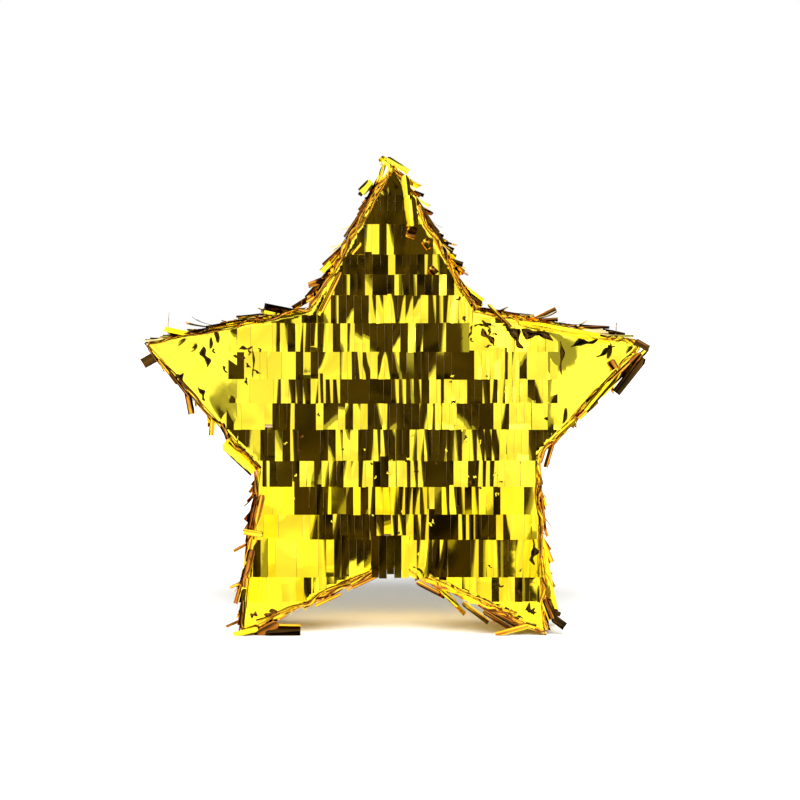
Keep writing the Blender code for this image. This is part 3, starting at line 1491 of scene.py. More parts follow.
@dataclass(frozen=True)
class EdgeStyle:
    """How untidy the folded foil is along one edge.

    Attributes:
        fans: number of gathers from which pleats spread.
        pleats: pleats in each gather.
        spread: largest distance that pleats stand out from the edge.
        strays: number of single loose ends.
        tones: tones that the pleats are drawn from; past gold they paint bounced light and fold shade.
        hems: number of long folds that run along the edge.
        hem_half: half the usual width of those folds.
        hem_shade_tone: their usual tone, which paints the shade of the fold round the card's edge.
    """

    fans: int = 3
    pleats: int = 5
    spread: float = 0.004
    strays: int = 3
    tones: tuple = (Tone.GOLD, Tone.AMBER, Tone.BROWN, Tone.DARK)
    hems: int = 2
    hem_half: float = 0.0009
    hem_shade_tone: float = 0.3


@dataclass
class EdgeFoil:
    """Folded row ends along the edges of one arm: thin hems, gathers of long pleats, loose ends."""

    arm: Arm
    face: Face
    star: StarShape
    film: bpy.types.Material
    seed: int
    styles: tuple

    def spot(self, wall: Wall, u: float, out: float, depth: float) -> np.ndarray:
        """Give a point near the edge.

        Args:
            wall: the wall below the edge.
            u: distance downhill along it.
            out: distance out from the card.
            depth: distance back from the face.

        Returns:
            The point in space.
        """
        x = wall.top[0] + wall.down[0] * u + wall.out[0] * out
        z = wall.top[1] + wall.down[1] * u + wall.out[1] * out
        return np.array([x, self.face.value * (self.star.half_depth - depth), z])

    def ways(self, wall: Wall) -> tuple[np.ndarray, np.ndarray, np.ndarray]:
        """Give three directions at a wall.

        Args:
            wall: the wall.

        Returns:
            The unit directions downhill, out of the star, and back from the face.
        """
        down = np.array([wall.down[0], 0.0, wall.down[1]])
        out = np.array([wall.out[0], 0.0, wall.out[1]])
        return down, out, np.array([0.0, -float(self.face.value), 0.0])

    def add_hem(
        self, foil: FoilMesh, wall: Wall, rng: np.random.Generator, layer: int, style: EdgeStyle
    ) -> None:
        """Add one long fold of film that runs along the edge.

        Args:
            foil: the mesh being gathered.
            wall: the wall whose edge is wrapped.
            rng: the edge's random numbers.
            layer: which layer of film, outermost last.
            style: how untidy the edge is.
        """
        start = rng.uniform(-0.001, 0.3) * wall.length if layer else -0.0005
        stop = rng.uniform(0.7, 1.0) * wall.length if layer else wall.length + 0.0005
        u = np.linspace(start, stop, 80)[:, None]
        middle = 0.0006 + 0.0012 * smooth_line(rng, u, 0.04) - style.hem_half * 1.1 * layer
        half = style.hem_half * (1.0 + 0.45 * smooth_line(rng, u, 0.024))
        share = np.linspace(-1, 1, 7)[None, :]
        across = middle + half * share
        ridge = 0.0008 * (1 - np.abs(share)) * (1 + 0.7 * smooth_line(rng, u, 0.018))
        wave = 0.0003 * np.cos(share * 5.0 + 2.0 * smooth_line(rng, u, 0.03))
        lift = 0.0014 + 0.0004 * layer + ridge + wave + 0.0002 * smooth_line(rng, u, 0.009)
        foot = wall.top[None, None, :] + wall.down * u[..., None] + wall.out * across[..., None]
        grid = self.star.lay(foot[..., 0], foot[..., 1], np.maximum(lift, 0.0008), self.face)
        # The hem's tone paints the shade of the fold round the card's edge, with highlight and shade lines
        # along it.
        drift = style.hem_shade_tone + 0.14 * smooth_line(rng, u, 0.05) + rng.uniform(-0.15, 0.15)
        lines = 0.36 * np.sin(share * 4.6 + rng.uniform(0, 6) + 1.8 * smooth_line(rng, u, 0.03))
        foil.add_grid(grid, np.clip(drift + lines, 0.0, 1.0))

    def add_fan(self, foil: FoilMesh, wall: Wall, rng: np.random.Generator, style: EdgeStyle) -> None:
        """Add one gather of long thin pleats that part from each other downhill.

        Args:
            foil: the mesh being gathered.
            wall: the wall it lies on.
            rng: the edge's random numbers.
            style: how untidy the edge is.
        """
        start = rng.uniform(0.0, 0.72) * wall.length
        reach = min(rng.uniform(0.026, 0.045), wall.length - start)
        if reach < 0.012:
            return
        down, out, inward = self.ways(wall)
        for number in range(style.pleats):
            share = (number + rng.uniform(0, 1)) / style.pleats
            away = math.atan2(style.spread * share, reach * 0.6)
            run = start + rng.uniform(0, 0.006)
            root = self.spot(wall, run, 0.0012 + 0.0012 * share, rng.uniform(-0.001, 0.002))
            # Pleat tones past gold paint bounced light and fold shade.
            Ribbon(
                root=root,
                along=down * math.cos(away) + out * math.sin(away) + inward * rng.uniform(-0.02, 0.14),
                up=out if rng.random() < 0.5 else -inward,
                length=reach * rng.uniform(0.7, 1.05),
                width=rng.uniform(0.0014, 0.0034),
                roll_deg=rng.uniform(-70, 70),
                twist_deg=rng.uniform(-60, 60),
                arc_deg=-math.degrees(away) * rng.uniform(0.6, 1.6),
                cup_deg=rng.uniform(-60, 60),
                tone=float(rng.choice(style.tones).value + rng.uniform(-0.08, 0.1)),
            ).add_to(foil)

    def add_stray(self, foil: FoilMesh, wall: Wall, rng: np.random.Generator, style: EdgeStyle) -> None:
        """Add one loose end that stands away from the edge.

        Args:
            foil: the mesh being gathered.
            wall: the wall it leaves.
            rng: the edge's random numbers.
            style: how untidy the edge is.
        """
        u = rng.uniform(0.1, 0.92) * wall.length
        away = math.radians(rng.uniform(14, 42))
        down, out, inward = self.ways(wall)
        along = down * math.cos(away) + out * math.sin(away) + inward * rng.uniform(-0.05, 0.5)
        Ribbon(
            root=self.spot(wall, u, 0.001, rng.uniform(0.001, 0.008)),
            along=along,
            up=-inward,
            length=rng.uniform(0.009, 0.016),
            width=rng.uniform(0.003, 0.0048),
            roll_deg=rng.uniform(-70, 70),
            twist_deg=rng.uniform(-50, 50),
            arc_deg=rng.uniform(-30, 30),
            cup_deg=rng.uniform(-40, 40),
            tone=float(rng.choice(style.tones).value),
        ).add_to(foil)

    def build(self) -> bpy.types.Object:
        """Make the folds, gathers and loose ends of both edges on one face.

        Returns:
            The arm's edge foil on that face.
        """
        rng = np.random.default_rng(self.seed)
        foil = FoilMesh()
        for wall, style in zip(self.star.walls(self.arm), self.styles):
            for layer in range(style.hems):
                self.add_hem(foil, wall, rng, layer, style)
            for _ in range(style.fans):
                self.add_fan(foil, wall, rng, style)
            for _ in range(style.strays):
                self.add_stray(foil, wall, rng, style)
        name = "%s_%s_edge_foil" % (self.face.name.lower(), self.arm.name.lower())
        return finish_piece(foil.to_object(name, self.film), "star")


@dataclass
class TipCurl:
    """The small funnel of curled foil at the top point."""

    film: bpy.types.Material
    node: str = "tip_curl"

    def build(self) -> bpy.types.Object:
        """Make the curl inside the space of its CAD solid.

        Returns:
            The curl's object.
        """
        low, high = (np.array(corner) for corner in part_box(self.node))
        centre, radius = (low + high) / 2, (high[0] - low[0]) / 2
        turn = np.linspace(math.radians(-60), math.radians(330), 34)[:, None]
        share = np.linspace(0.0, 1.0, 7)[None, :]
        spiral = (turn - turn.min()) / (turn.max() - turn.min())
        reach = radius * (1.0 - 0.62 * share) * (1.0 - 0.16 * spiral)
        reach = reach * (1 + 0.07 * np.sin(turn * 5 + share * 4))
        y = low[1] - 0.001 + share * (high[1] - low[1])
        grid = np.stack(
            [
                centre[0] + reach * np.cos(turn) + 0.0006 * share,
                y + 0.0008 * np.sin(turn * 2),
                centre[2] + reach * np.sin(turn) - 0.001 * share,
            ],
            axis=-1,
        )
        foil = FoilMesh()
        foil.add_grid(grid, 0.05)
        return finish_piece(foil.to_object(self.node + "_foil", self.film), "star", (self.node,))


@dataclass(frozen=True)
class Bundle:
    """Loose strips that leave the foil side by side. Places are (x, z) on the face; all in mm.

    Attributes:
        root: where the first strip leaves the foil.
        tip: where its free end is.
        tones: the strips' tones, taken in turn; past gold they paint bounced light, fold shade and dark
            reflections.
        width: their usual width.
        depth: how far behind the face they lie.
        count: how many there are.
        shift: from the first strip to the last.
        roll_deg: how far they are turned about their length.
        arc_deg: how far they bend away from the face.
    """

    root: tuple
    tip: tuple
    tones: tuple
    width: float = 3.5
    depth: float = 3.0
    count: int = 1
    shift: tuple = (0.0, 0.0)
    roll_deg: float = 12.0
    arc_deg: float = -2.0

    def ribbons(self, rng: np.random.Generator, front: float) -> list[Ribbon]:
        """Make the strips.

        Args:
            rng: random numbers.
            front: the face's distance from the middle of the box.

        Returns:
            One ribbon for each strip.
        """
        strips = []
        for number in range(self.count):
            share = number / max(self.count - 1, 1)
            uneven = 1.2 if self.count > 2 else 0.0
            root = np.array(self.root) + np.array(self.shift) * share + rng.normal(0.0, 0.6, 2) * uneven
            tip = np.array(self.tip) + np.array(self.shift) * share + rng.normal(0.0, 1.0, 2) * uneven
            y = -front - 0.0028 + (self.depth + rng.uniform(0.0, 2.0) * uneven) * MM
            along = np.array([tip[0] - root[0], 0.0, tip[1] - root[1]]) * MM
            length = float(np.linalg.norm(along)) * (1 + math.radians(self.arc_deg) ** 2 / 6)
            tone = self.tones[number % len(self.tones)].value
            highlight_and_shade_streak = 0.1 if tone in (Tone.GOLD.value, Tone.BLACK.value) else 0.34
            strips.append(
                Ribbon(
                    root=np.array([root[0] * MM, y, root[1] * MM]),
                    along=along,
                    up=TO_FRONT,
                    length=length,
                    width=self.width * MM * rng.uniform(0.85, 1.15),
                    roll_deg=self.roll_deg + rng.uniform(-5, 5) * uneven,
                    twist_deg=4.0 + rng.uniform(0, 10) * uneven,
                    arc_deg=self.arc_deg,
                    cup_deg=16.0,
                    tone=min(tone + rng.uniform(0.0, 0.08), Tone.BLACK.value),
                    highlight_and_shade_streak=highlight_and_shade_streak,
                )
            )
        return strips


@dataclass(frozen=True)
class Tuck:
    """Tucks in the face's foil, in mm, drawn as near-black leaves that paint the shade inside each tuck.

    Attributes:
        start: one end of the first tuck, (x, z) on the face.
        end: its other end.
        width: its greatest width.
        count: how many there are; the others are scattered round the first.
        reach: how far they are scattered across and up.
    """

    start: tuple
    end: tuple
    width: float
    count: int = 1
    reach: tuple = (0.0, 0.0)

    def ribbons(self, rng: np.random.Generator, front: float) -> list[Ribbon]:
        """Make the tucks.

        Args:
            rng: random numbers.
            front: the face's distance from the middle of the box.

        Returns:
            One narrow leaf for each tuck.
        """
        leaves = []
        run = np.array([self.end[0] - self.start[0], self.end[1] - self.start[1]])
        for number in range(self.count):
            root = np.array(self.start) + np.array(self.reach) * rng.normal(0.0, 1.0, 2)
            turn = math.radians(rng.normal(0.0, 35.0)) if number else 0.0
            way = np.array(
                [
                    run[0] * math.cos(turn) - run[1] * math.sin(turn),
                    0.0,
                    run[0] * math.sin(turn) + run[1] * math.cos(turn),
                ]
            )
            size = float(np.linalg.norm(way)) * (rng.uniform(0.4, 1.2) if number else 1.0)
            spot = np.array([root[0] * MM, -front - CREASE_OFF, root[1] * MM])
            # Near-black tone: painted shade inside the tuck.
            tone = Tone.BLACK.value - rng.uniform(0.0, 0.12)
            leaves.append(crease(spot, way, size * MM, self.width * MM, tone, rng.uniform(-16, 16)))
        return leaves


@dataclass
class LooseStrips:
    """Strips that have worked loose, tucks painted dark with shade, and small nicks scattered over the
    front.

    Attributes:
        star: the star's shape.
        film: their finish.
        bundles: the loose strips.
        tucks: the tucks.
        seed: seed of the random numbers.
        nick_count: number of nicks.
    """

    star: StarShape
    film: bpy.types.Material
    bundles: tuple[Bundle, ...]
    tucks: tuple[Tuck, ...]
    seed: int = 77
    nick_count: int = 60

    def build(self) -> bpy.types.Object:
        """Make every loose strip and tuck.

        Returns:
            The loose foil as one piece.
        """
        rng = np.random.default_rng(self.seed)
        foil = FoilMesh()
        for bundle in self.bundles:
            for ribbon in bundle.ribbons(rng, self.star.half_depth):
                ribbon.add_to(foil, 5, 12)
        for tuck in self.tucks:
            for leaf in tuck.ribbons(rng, self.star.half_depth):
                leaf.add_to(foil, 5, 10)
        self.add_nicks(foil, rng)
        self.add_hairs(foil)
        return finish_piece(foil.to_object("loose_strips", self.film), "star")

    def add_nicks(self, foil: FoilMesh, rng: np.random.Generator) -> None:
        """Scatter small torn bits over the middle of the face.

        Args:
            foil: the mesh being gathered.
            rng: random numbers.
        """
        for _ in range(self.nick_count):
            x, z = rng.normal(30.0, 45.0) * MM, rng.normal(110.0, 45.0) * MM
            turn, size = rng.uniform(0, 2 * math.pi), rng.uniform(1.5, 4.0) * MM
            if self.star.measure(np.array([x]), np.array([z]))[0][0] > -0.006:
                continue
            spot = np.array([x, -self.star.half_depth - CREASE_OFF, z])
            way = np.array([math.sin(turn), 0.0, math.cos(turn)])
            # A third of the nicks are near-black, painting the shade of small puckers; the rest are plain
            # gold.
            tone = float(rng.choice([0.9, 0.0, 0.0]))
            crease(spot, way, size, rng.uniform(0.0008, 0.0019), tone).add_to(foil, 3, 6)

    def add_hairs(self, foil: FoilMesh) -> None:
        """Add the hair-thin slivers that stand up from the arms.

        Args:
            foil: the mesh being gathered.
        """
        for x, z, side, length in ((-0.148, 0.199, 0.1, 0.014), (0.146, 0.198, 0.05, 0.008)):
            root = np.array([x, -self.star.half_depth + 0.004, z])
            Ribbon(
                root=root,
                along=np.array([side, 0.0, 1.0]),
                up=TO_FRONT,
                length=length,
                width=0.0005,
                roll_deg=20,
                twist_deg=30,
                arc_deg=20,
                tone=Tone.BROWN.value,
            ).add_to(foil)


# ------------------------------
# Card and studio
# ------------------------------


@dataclass
class CardBox:
    """The card sheets, wall strips and flap that stay as packed and get a card finish."""

    card: bpy.types.Material

    def dress(self) -> None:
        """Give every shown card node the card finish."""
        for name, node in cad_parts.items():
            if name.startswith("card_") or name == "fill_flap":
                node.data.materials.clear()
                node.data.materials.append(self.card)
                LOG.info("%s: card finish", name)


@dataclass
class Studio:
    """Pale floor, white surround, soft lights, the dark flags seen in the foil, and the camera.

    Attributes:
        star: the star's shape.
        look_x: where the camera looks, across.
        look_z: where the camera looks, in height.
        distance: distance of the camera.
        elevation_deg: how far above level the camera stands.
        frame_size: width of the view at the star.
        sensor_width: width of the camera's sensor in mm.
        flag_distance: distance of the flags and panels.
        flag_half_w: half a flag's width.
        flag_high: height of a flag.
        gauze_half_w: half the width of a flag's grey border.
        panel: shift sideways, half width, lower edge and upper edge of a bright panel.
        cloth_turns_deg: directions in which the floor cloths lie.
        cloth_reach: where a floor cloth starts and ends.
        cloth_half_w: half a floor cloth's width at the star, and how much it grows with distance.
        cloth_z: height of the floor cloths.
        sun_elevation_deg: height of the sun.
        sun_strength: strength of the sun.
        sun_size_deg: width of the sun, which softens the shadow.
        bounce_size: width and height of the warm glow behind the legs.
        bounce_power: its power.
        bounce_colour: its colour.
        bounce_z: its height.
        bounce_tilt_deg: its tilt.
        fill: strength of the white surround as a light.
        mirrored: strength of the white surround in the foil.
        mirrored_range: how far clouds vary that strength.
        cloud_scale: how fine those clouds are.
        ceiling: how strongly the dark ceiling shows in the foil.
        ceiling_start: where the ceiling begins and is whole, in height with its unevenness.
        ceiling_wave: scale and depth of its uneven lower edge.
    """

    star: StarShape
    look_x: float = 0.0045
    look_z: float = 0.1553
    distance: float = 1.6
    elevation_deg: float = 3.0
    frame_size: float = 0.524
    sensor_width: float = 36.0
    flag_distance: float = 1.40
    flag_half_w: float = 0.165
    flag_high: float = 0.85
    gauze_half_w: float = 0.014
    panel: tuple[float, float, float, float] = (0.46, 0.10, 0.25, 1.1)
    cloth_turns_deg: tuple = (-52, -38, 38, 52, 128, 142, 218, 232)
    cloth_reach: tuple[float, float] = (0.24, 1.2)
    cloth_half_w: tuple[float, float] = (0.015, 0.07)
    cloth_z: float = 0.0002
    sun_elevation_deg: float = 37.0
    sun_strength: float = 6.5
    sun_size_deg: float = 38.0
    bounce_size: tuple[float, float] = (0.15, 0.03)
    bounce_power: float = 0.020
    bounce_colour: tuple = (1.0, 0.66, 0.16)
    bounce_z: float = 0.034
    bounce_tilt_deg: float = 25.0
    fill: float = 0.51
    mirrored: float = 1.20
    mirrored_range: tuple[float, float] = (0.76, 1.16)
    cloud_scale: float = 9.0
    ceiling: float = 0.07
    ceiling_start: tuple[float, float] = (1.02, 1.16)
    ceiling_wave: tuple[float, float] = (2.6, 0.9)

    def build(self) -> None:
        """Make the whole set."""
        self.make_world()
        self.make_floor()
        self.make_floor_flags()
        self.make_sun()
        self.make_bounce()
        self.make_flags()
        self.make_camera()
        bpy.context.scene.view_settings.view_transform = "Standard"

    def mirrored_strength(self, tree: bpy.types.NodeTree) -> bpy.types.NodeSocket:
        """Grade the surround that the foil mirrors, from a cloudy white up to a dark ceiling.

        Args:
            tree: the world's node tree.

        Returns:
            The strength of the mirrored surround.
        """
        where = add_node(tree, "ShaderNodeTexCoord").outputs["Generated"]
        parts = add_node(tree, "ShaderNodeSeparateXYZ")
        feed(tree, where, parts.inputs["Vector"])
        uneven = add_noise(tree, where, self.ceiling_wave[0], detail=1.0)
        height = add_math(tree, "MULTIPLY_ADD", uneven, self.ceiling_wave[1], parts.outputs["Z"])
        low, high = (self.mirrored * share for share in self.mirrored_range)
        clouds = add_range(tree, add_noise(tree, where, self.cloud_scale), (0.3, 0.7), (low, high))
        return add_range(
            tree, height, self.ceiling_start, (clouds, self.ceiling), interpolation_type="SMOOTHSTEP"
        )

    def make_world(self) -> None:
        """Make the surround: plain white to the camera, a soft fill light, and graded in the foil."""
        world = bpy.data.worlds.new("white_surround")
        bpy.context.scene.world = world
        world.use_nodes = True
        tree = world.node_tree
        tree.nodes.clear()
        shades = []
        for strength in (1.0, self.fill, self.mirrored_strength(tree)):
            shade = add_node(tree, "ShaderNodeBackground")
            feed(tree, WHITE, shade.inputs["Color"])
            feed(tree, strength, shade.inputs["Strength"])
            shades.append(shade.outputs["Background"])
        seen, lit, mirrored = shades
        path = add_node(tree, "ShaderNodeLightPath")
        around = mix_shaders(tree, path.outputs["Is Glossy Ray"], lit, mirrored)
        whole = mix_shaders(tree, path.outputs["Is Camera Ray"], around, seen)
        result = add_node(tree, "ShaderNodeOutputWorld")
        feed(tree, whole, result.inputs["Surface"])

    def plane(self, name: str, corners: list, material: bpy.types.Material) -> bpy.types.Object:
        """Make one flat stage surface.

        Args:
            name: its name.
            corners: its four corners.
            material: its finish.

        Returns:
            The stage object.
        """
        mesh = bpy.data.meshes.new(name)
        mesh.from_pydata(corners, [], [(0, 1, 2, 3)])
        mesh.materials.append(material)
        surface = put_in_scene(name, mesh)
        return surface

    def make_floor(self) -> None:
        """Make the faintly mottled pale floor."""
        size, pale, grain_scale = 8.0, (0.90, 0.93), 3.0
        material = new_material("white_floor")
        tree = material.node_tree
        shader = tree.nodes["Principled BSDF"]
        shader.inputs["Roughness"].default_value = 0.9
        where = add_node(tree, "ShaderNodeTexCoord").outputs["Object"]
        grain = add_noise(tree, where, grain_scale)
        feed(tree, add_range(tree, grain, (0.0, 1.0), pale), shader.inputs["Base Color"])
        corners = [(-size, -size, 0), (size, -size, 0), (size, size, 0), (-size, size, 0)]
        self.plane("floor", corners, material)

    def make_sun(self) -> None:
        """Light the floor evenly from the front and above, with a soft-edged shadow behind."""
        lamp = bpy.data.lights.new("front_sun", "SUN")
        lamp.energy = self.sun_strength
        lamp.angle = math.radians(self.sun_size_deg)
        holder = put_in_scene("front_sun", lamp)
        tilt = math.radians(self.sun_elevation_deg)
        aim = Vector((0.0, math.cos(tilt), -math.sin(tilt)))
        holder.location = (0.0, -2.0, 2.0)
        holder.rotation_mode = "QUATERNION"
        holder.rotation_quaternion = aim.to_track_quat("-Z", "Y")
        holder.visible_glossy = False

    def make_bounce(self) -> None:
        """Hang the warm glow that the foil throws on the floor between the legs."""
        clear = 0.012
        glow = bpy.data.lights.new("gold_bounce", "AREA")
        glow.shape = "RECTANGLE"
        glow.size, glow.size_y = self.bounce_size
        glow.energy = self.bounce_power
        glow.color = self.bounce_colour
        holder = put_in_scene("gold_bounce", glow)
        holder.location = (0.0, self.star.half_depth + clear, self.bounce_z)
        holder.rotation_euler = (math.radians(self.bounce_tilt_deg), 0.0, 0.0)
        holder.visible_glossy = False
        holder.visible_camera = False

    def glow_material(
        self, name: str, dark: float, pale: float, scale: float, tint: tuple = WHITE
    ) -> bpy.types.Material:
        """Make the uneven glow of a flag or panel.

        Args:
            name: the material's name.
            dark: its darkest glow.
            pale: its palest glow.
            scale: how fine its unevenness is.
            tint: its colour.

        Returns:
            The material.
        """
        material = new_material(name)
        tree = material.node_tree
        tree.nodes.clear()
        where = add_node(tree, "ShaderNodeTexCoord").outputs["Object"]
        strength = add_range(tree, add_noise(tree, where, scale), (0.34, 0.72), (dark, pale))
        glow = add_node(tree, "ShaderNodeEmission")
        feed(tree, tint, glow.inputs["Color"])
        feed(tree, strength, glow.inputs["Strength"])
        result = add_node(tree, "ShaderNodeOutputMaterial")
        feed(tree, glow.outputs["Emission"], result.inputs["Surface"])
        return material

    def reflect_only(self, surface: bpy.types.Object) -> None:
        """Let only reflections see a stage surface."""
        for ray in ("camera", "diffuse", "transmission", "volume_scatter", "shadow"):
            setattr(surface, "visible_" + ray, False)

    def upright(self, turn: float, offset: float, half: float, low: float, high: float) -> list:
        """Give the corners of an upright panel at the flags' distance.

        Args:
            turn: its direction from the front.
            offset: its shift sideways.
            half: half its width.
            low: its lower edge.
            high: its upper edge.

        Returns:
            Four corners.
        """
        back = np.array([math.sin(turn), -math.cos(turn)])
        side = np.array([math.cos(turn), math.sin(turn)])
        corners = []
        for reach, height in ((-1, low), (1, low), (1, high), (-1, high)):
            spot = back * self.flag_distance + side * (offset + reach * half)
            corners.append((float(spot[0]), float(spot[1]), height))
        return corners

    def make_flags(self) -> None:
        """Stand dark flags and bright panels all round, so that every side of the foil has contrast.

        Only reflections see them. Each flag has a grey border, and a bright panel stands beside it.
        """
        cloth = self.glow_material("dark_flag", 0.008, 0.085, 7.0, WARM_DARK)
        gauze = self.glow_material("grey_gauze", 0.20, 0.60, 7.0)
        panel = self.glow_material("bright_panel", 1.6, 3.0, 2.0)
        border = self.flag_half_w + self.gauze_half_w
        for step in range(8):
            turn = math.radians(45.0 * step)
            corners = self.upright(turn, 0.0, self.flag_half_w, 0.0, self.flag_high)
            self.reflect_only(self.plane("flag_%d" % step, corners, cloth))
            for side in (-1, 1):
                corners = self.upright(turn, side * border, self.gauze_half_w, 0.0, self.flag_high)
                self.reflect_only(self.plane("gauze_%d_%d" % (step, side + 1), corners, gauze))
            self.reflect_only(self.plane("panel_%d" % step, self.upright(turn, *self.panel), panel))

    def make_floor_flags(self) -> None:
        """Lay dark cloths on the floor off the four corners, seen only in reflections."""
        cloth = self.glow_material("floor_cloth", 0.02, 0.5, 9.0, WARM_DARK)
        near, far = self.cloth_reach
        narrow, widen = self.cloth_half_w
        for step, turn_deg in enumerate(self.cloth_turns_deg):
            turn = math.radians(turn_deg)
            away = np.array([math.sin(turn), -math.cos(turn)])
            across = np.array([math.cos(turn), math.sin(turn)])
            corners = []
            for side, reach in ((-1, near), (1, near), (1, far), (-1, far)):
                spot = away * reach + across * side * (narrow + widen * reach)
                corners.append((float(spot[0]), float(spot[1]), self.cloth_z))
            self.reflect_only(self.plane("floor_cloth_%d" % step, corners, cloth))

    def make_camera(self) -> None:
        """Place the camera nearly level in front of the star."""
        camera = bpy.data.cameras.new("camera")
        holder = put_in_scene("camera", camera)
        tilt = math.radians(self.elevation_deg)
        target = Vector((self.look_x, -self.star.half_depth, self.look_z))
        back = Vector((0.0, -math.cos(tilt), math.sin(tilt)))
        holder.location = target + back * self.distance
        holder.rotation_mode = "QUATERNION"
        holder.rotation_quaternion = (-back).to_track_quat("-Z", "Y")
        camera.sensor_width = self.sensor_width
        camera.lens = camera.sensor_width * self.distance / self.frame_size
        bpy.context.scene.camera = holder


# ------------------------------
# Assembly
# ------------------------------

# Edge foil tone sets; every tone past gold paints bounced light, fold shade or dark reflection.
WARM = (Tone.AMBER, Tone.BROWN, Tone.BROWN, Tone.DARK)
DUSKY = (Tone.GOLD, Tone.BROWN, Tone.DARK, Tone.BLACK)
BRIGHT = (Tone.GOLD, Tone.GOLD, Tone.AMBER, Tone.BROWN)
# Styles of each arm's two walls, the wall before its point (clockwise) first.
FRONT_STYLES = {
    Arm.TOP: (
        EdgeStyle(2, 4, 0.002, 2, WARM, 2, 0.0008, 0.45),
        EdgeStyle(3, 4, 0.0015, 9, DUSKY, 2, 0.0007, 0.46),
    ),
    Arm.RIGHT: (
        EdgeStyle(2, 3, 0.001, 0, BRIGHT, 2, 0.0008, 0.12),
        EdgeStyle(2, 3, 0.001, 0, BRIGHT, 1, 0.0007, 0.40),
    ),
    Arm.LEG_RIGHT: (
        EdgeStyle(3, 4, 0.002, 2, BRIGHT, 2, 0.0007, 0.50),
        EdgeStyle(3, 4, 0.002, 1, WARM, 3, 0.0012, 0.25),
    ),
    Arm.LEG_LEFT: (
        EdgeStyle(2, 4, 0.0015, 1, WARM, 3, 0.0008, 0.45),
        EdgeStyle(3, 5, 0.003, 3, WARM, 1, 0.0006, 0.60),
    ),
    Arm.LEFT: (
        EdgeStyle(1, 3, 0.001, 0, BRIGHT, 1, 0.0005, 0.55),
        EdgeStyle(2, 4, 0.0015, 0, DUSKY, 1, 0.0005, 0.80),
    ),
}
BACK_STYLES = {
    Arm.TOP: (EdgeStyle(4, 5, 0.005, 5, WARM), EdgeStyle(3, 5, 0.003, 6, DUSKY)),
    Arm.RIGHT: (EdgeStyle(3, 4, 0.003, 2, DUSKY), EdgeStyle(2, 3, 0.002, 2, BRIGHT)),
    Arm.LEG_RIGHT: (EdgeStyle(3, 5, 0.004, 4, WARM), EdgeStyle(3, 4, 0.002, 2, BRIGHT)),
    Arm.LEG_LEFT: (EdgeStyle(3, 4, 0.002, 2, BRIGHT), EdgeStyle(4, 5, 0.004, 4, WARM)),
    Arm.LEFT: (EdgeStyle(2, 4, 0.002, 2, BRIGHT), EdgeStyle(3, 4, 0.003, 3, DUSKY)),
}
# Loose strips: their tones past gold paint bounced light, fold shade and dark reflections.
GOLD, AMBER, BROWN, DARK, BLACK = Tone
SPIKE_STRIPS = (
    Bundle((-1, 304), (-6, 313), (GOLD,), 3.8, 2, 3, (3, 0)),
    Bundle((-4, 313), (10, 304), (GOLD,), 3.6, 1),
    Bundle((-5, 309), (-13, 293), (AMBER, BROWN, DARK, BROWN, BLACK), 2.8, 3, 7, (-15, -36), 16),
    Bundle((-14, 298), (-21, 291), (GOLD,), 6.2, 6, roll_deg=-14),
    Bundle((-18, 295), (-22, 289), (BLACK,), 2.8, 8),
    Bundle((-21, 266), (-45, 243), (BROWN, GOLD, DARK, AMBER, BROWN), 3.6, 4, 5, (0, -16), 8),
    Bundle((-28, 253), (-45, 226), (AMBER, BROWN, GOLD, DARK, BROWN, AMBER), 3.3, 3, 6, (-4, -10), 10),
    Bundle((-34, 239), (-47, 213), (AMBER, GOLD), 2.8, 0, 2, (-2, -2), 16),
    Bundle((-21, 258), (-27, 251), (GOLD,), 2.4, -1, roll_deg=-8),
    Bundle((8, 302), (9, 286), (GOLD,), 5.2, 0, roll_deg=6, arc_deg=0),
    Bundle((11, 289), (12, 269), (GOLD,), 9.0, 0, roll_deg=6, arc_deg=0),
    Bundle((9, 266), (15, 264), (BROWN,), 7.0, -0.5, roll_deg=4, arc_deg=0),
    Bundle((-48, 226), (-66, 215), (BROWN,), 4.4, 6, arc_deg=-34),
    Bundle((-44, 233), (-48, 220), (DARK,), 4.2, 8),
    Bundle((20, 260), (24, 255), (AMBER,), 4.4, -1, arc_deg=40),
    Bundle((24, 242), (28, 238), (BROWN,), 4.4, -1, arc_deg=40),
)
LEFT_ARM_STRIPS = (
    Bundle((-65, 212), (-85, 216), (BLACK,), 5.0, 14),
    Bundle((-67, 208), (-85, 212), (GOLD,), 4.6, 10, roll_deg=-8),
    Bundle((-46, 206), (-88, 203), (BLACK, GOLD, BLACK, DARK, BLACK), 3.1, 4, 5, (-58, -4), 26),
    Bundle((-42, 214), (-68, 206), (BROWN,), 3.0, 3),
    Bundle((-123, 196), (-149, 202), (GOLD,), 3.6, 4, arc_deg=26),
    Bundle((-155, 184), (-164, 179), (BLACK,), 8.0, 4),
    Bundle((-153, 182), (-141, 166), (AMBER, DARK), 2.5, 0, 2, (7, -8)),
    Bundle((-135, 162), (-132, 146), (BROWN,), 4.4, 3),
    Bundle((-118, 144), (-119, 132), (AMBER,), 4.0, 2),
    Bundle((-112, 140), (-108, 130), (DARK,), 3.0, 1),
    Bundle((-110, 128), (-90, 109), (GOLD,), 10.0, 5, roll_deg=-12),
)
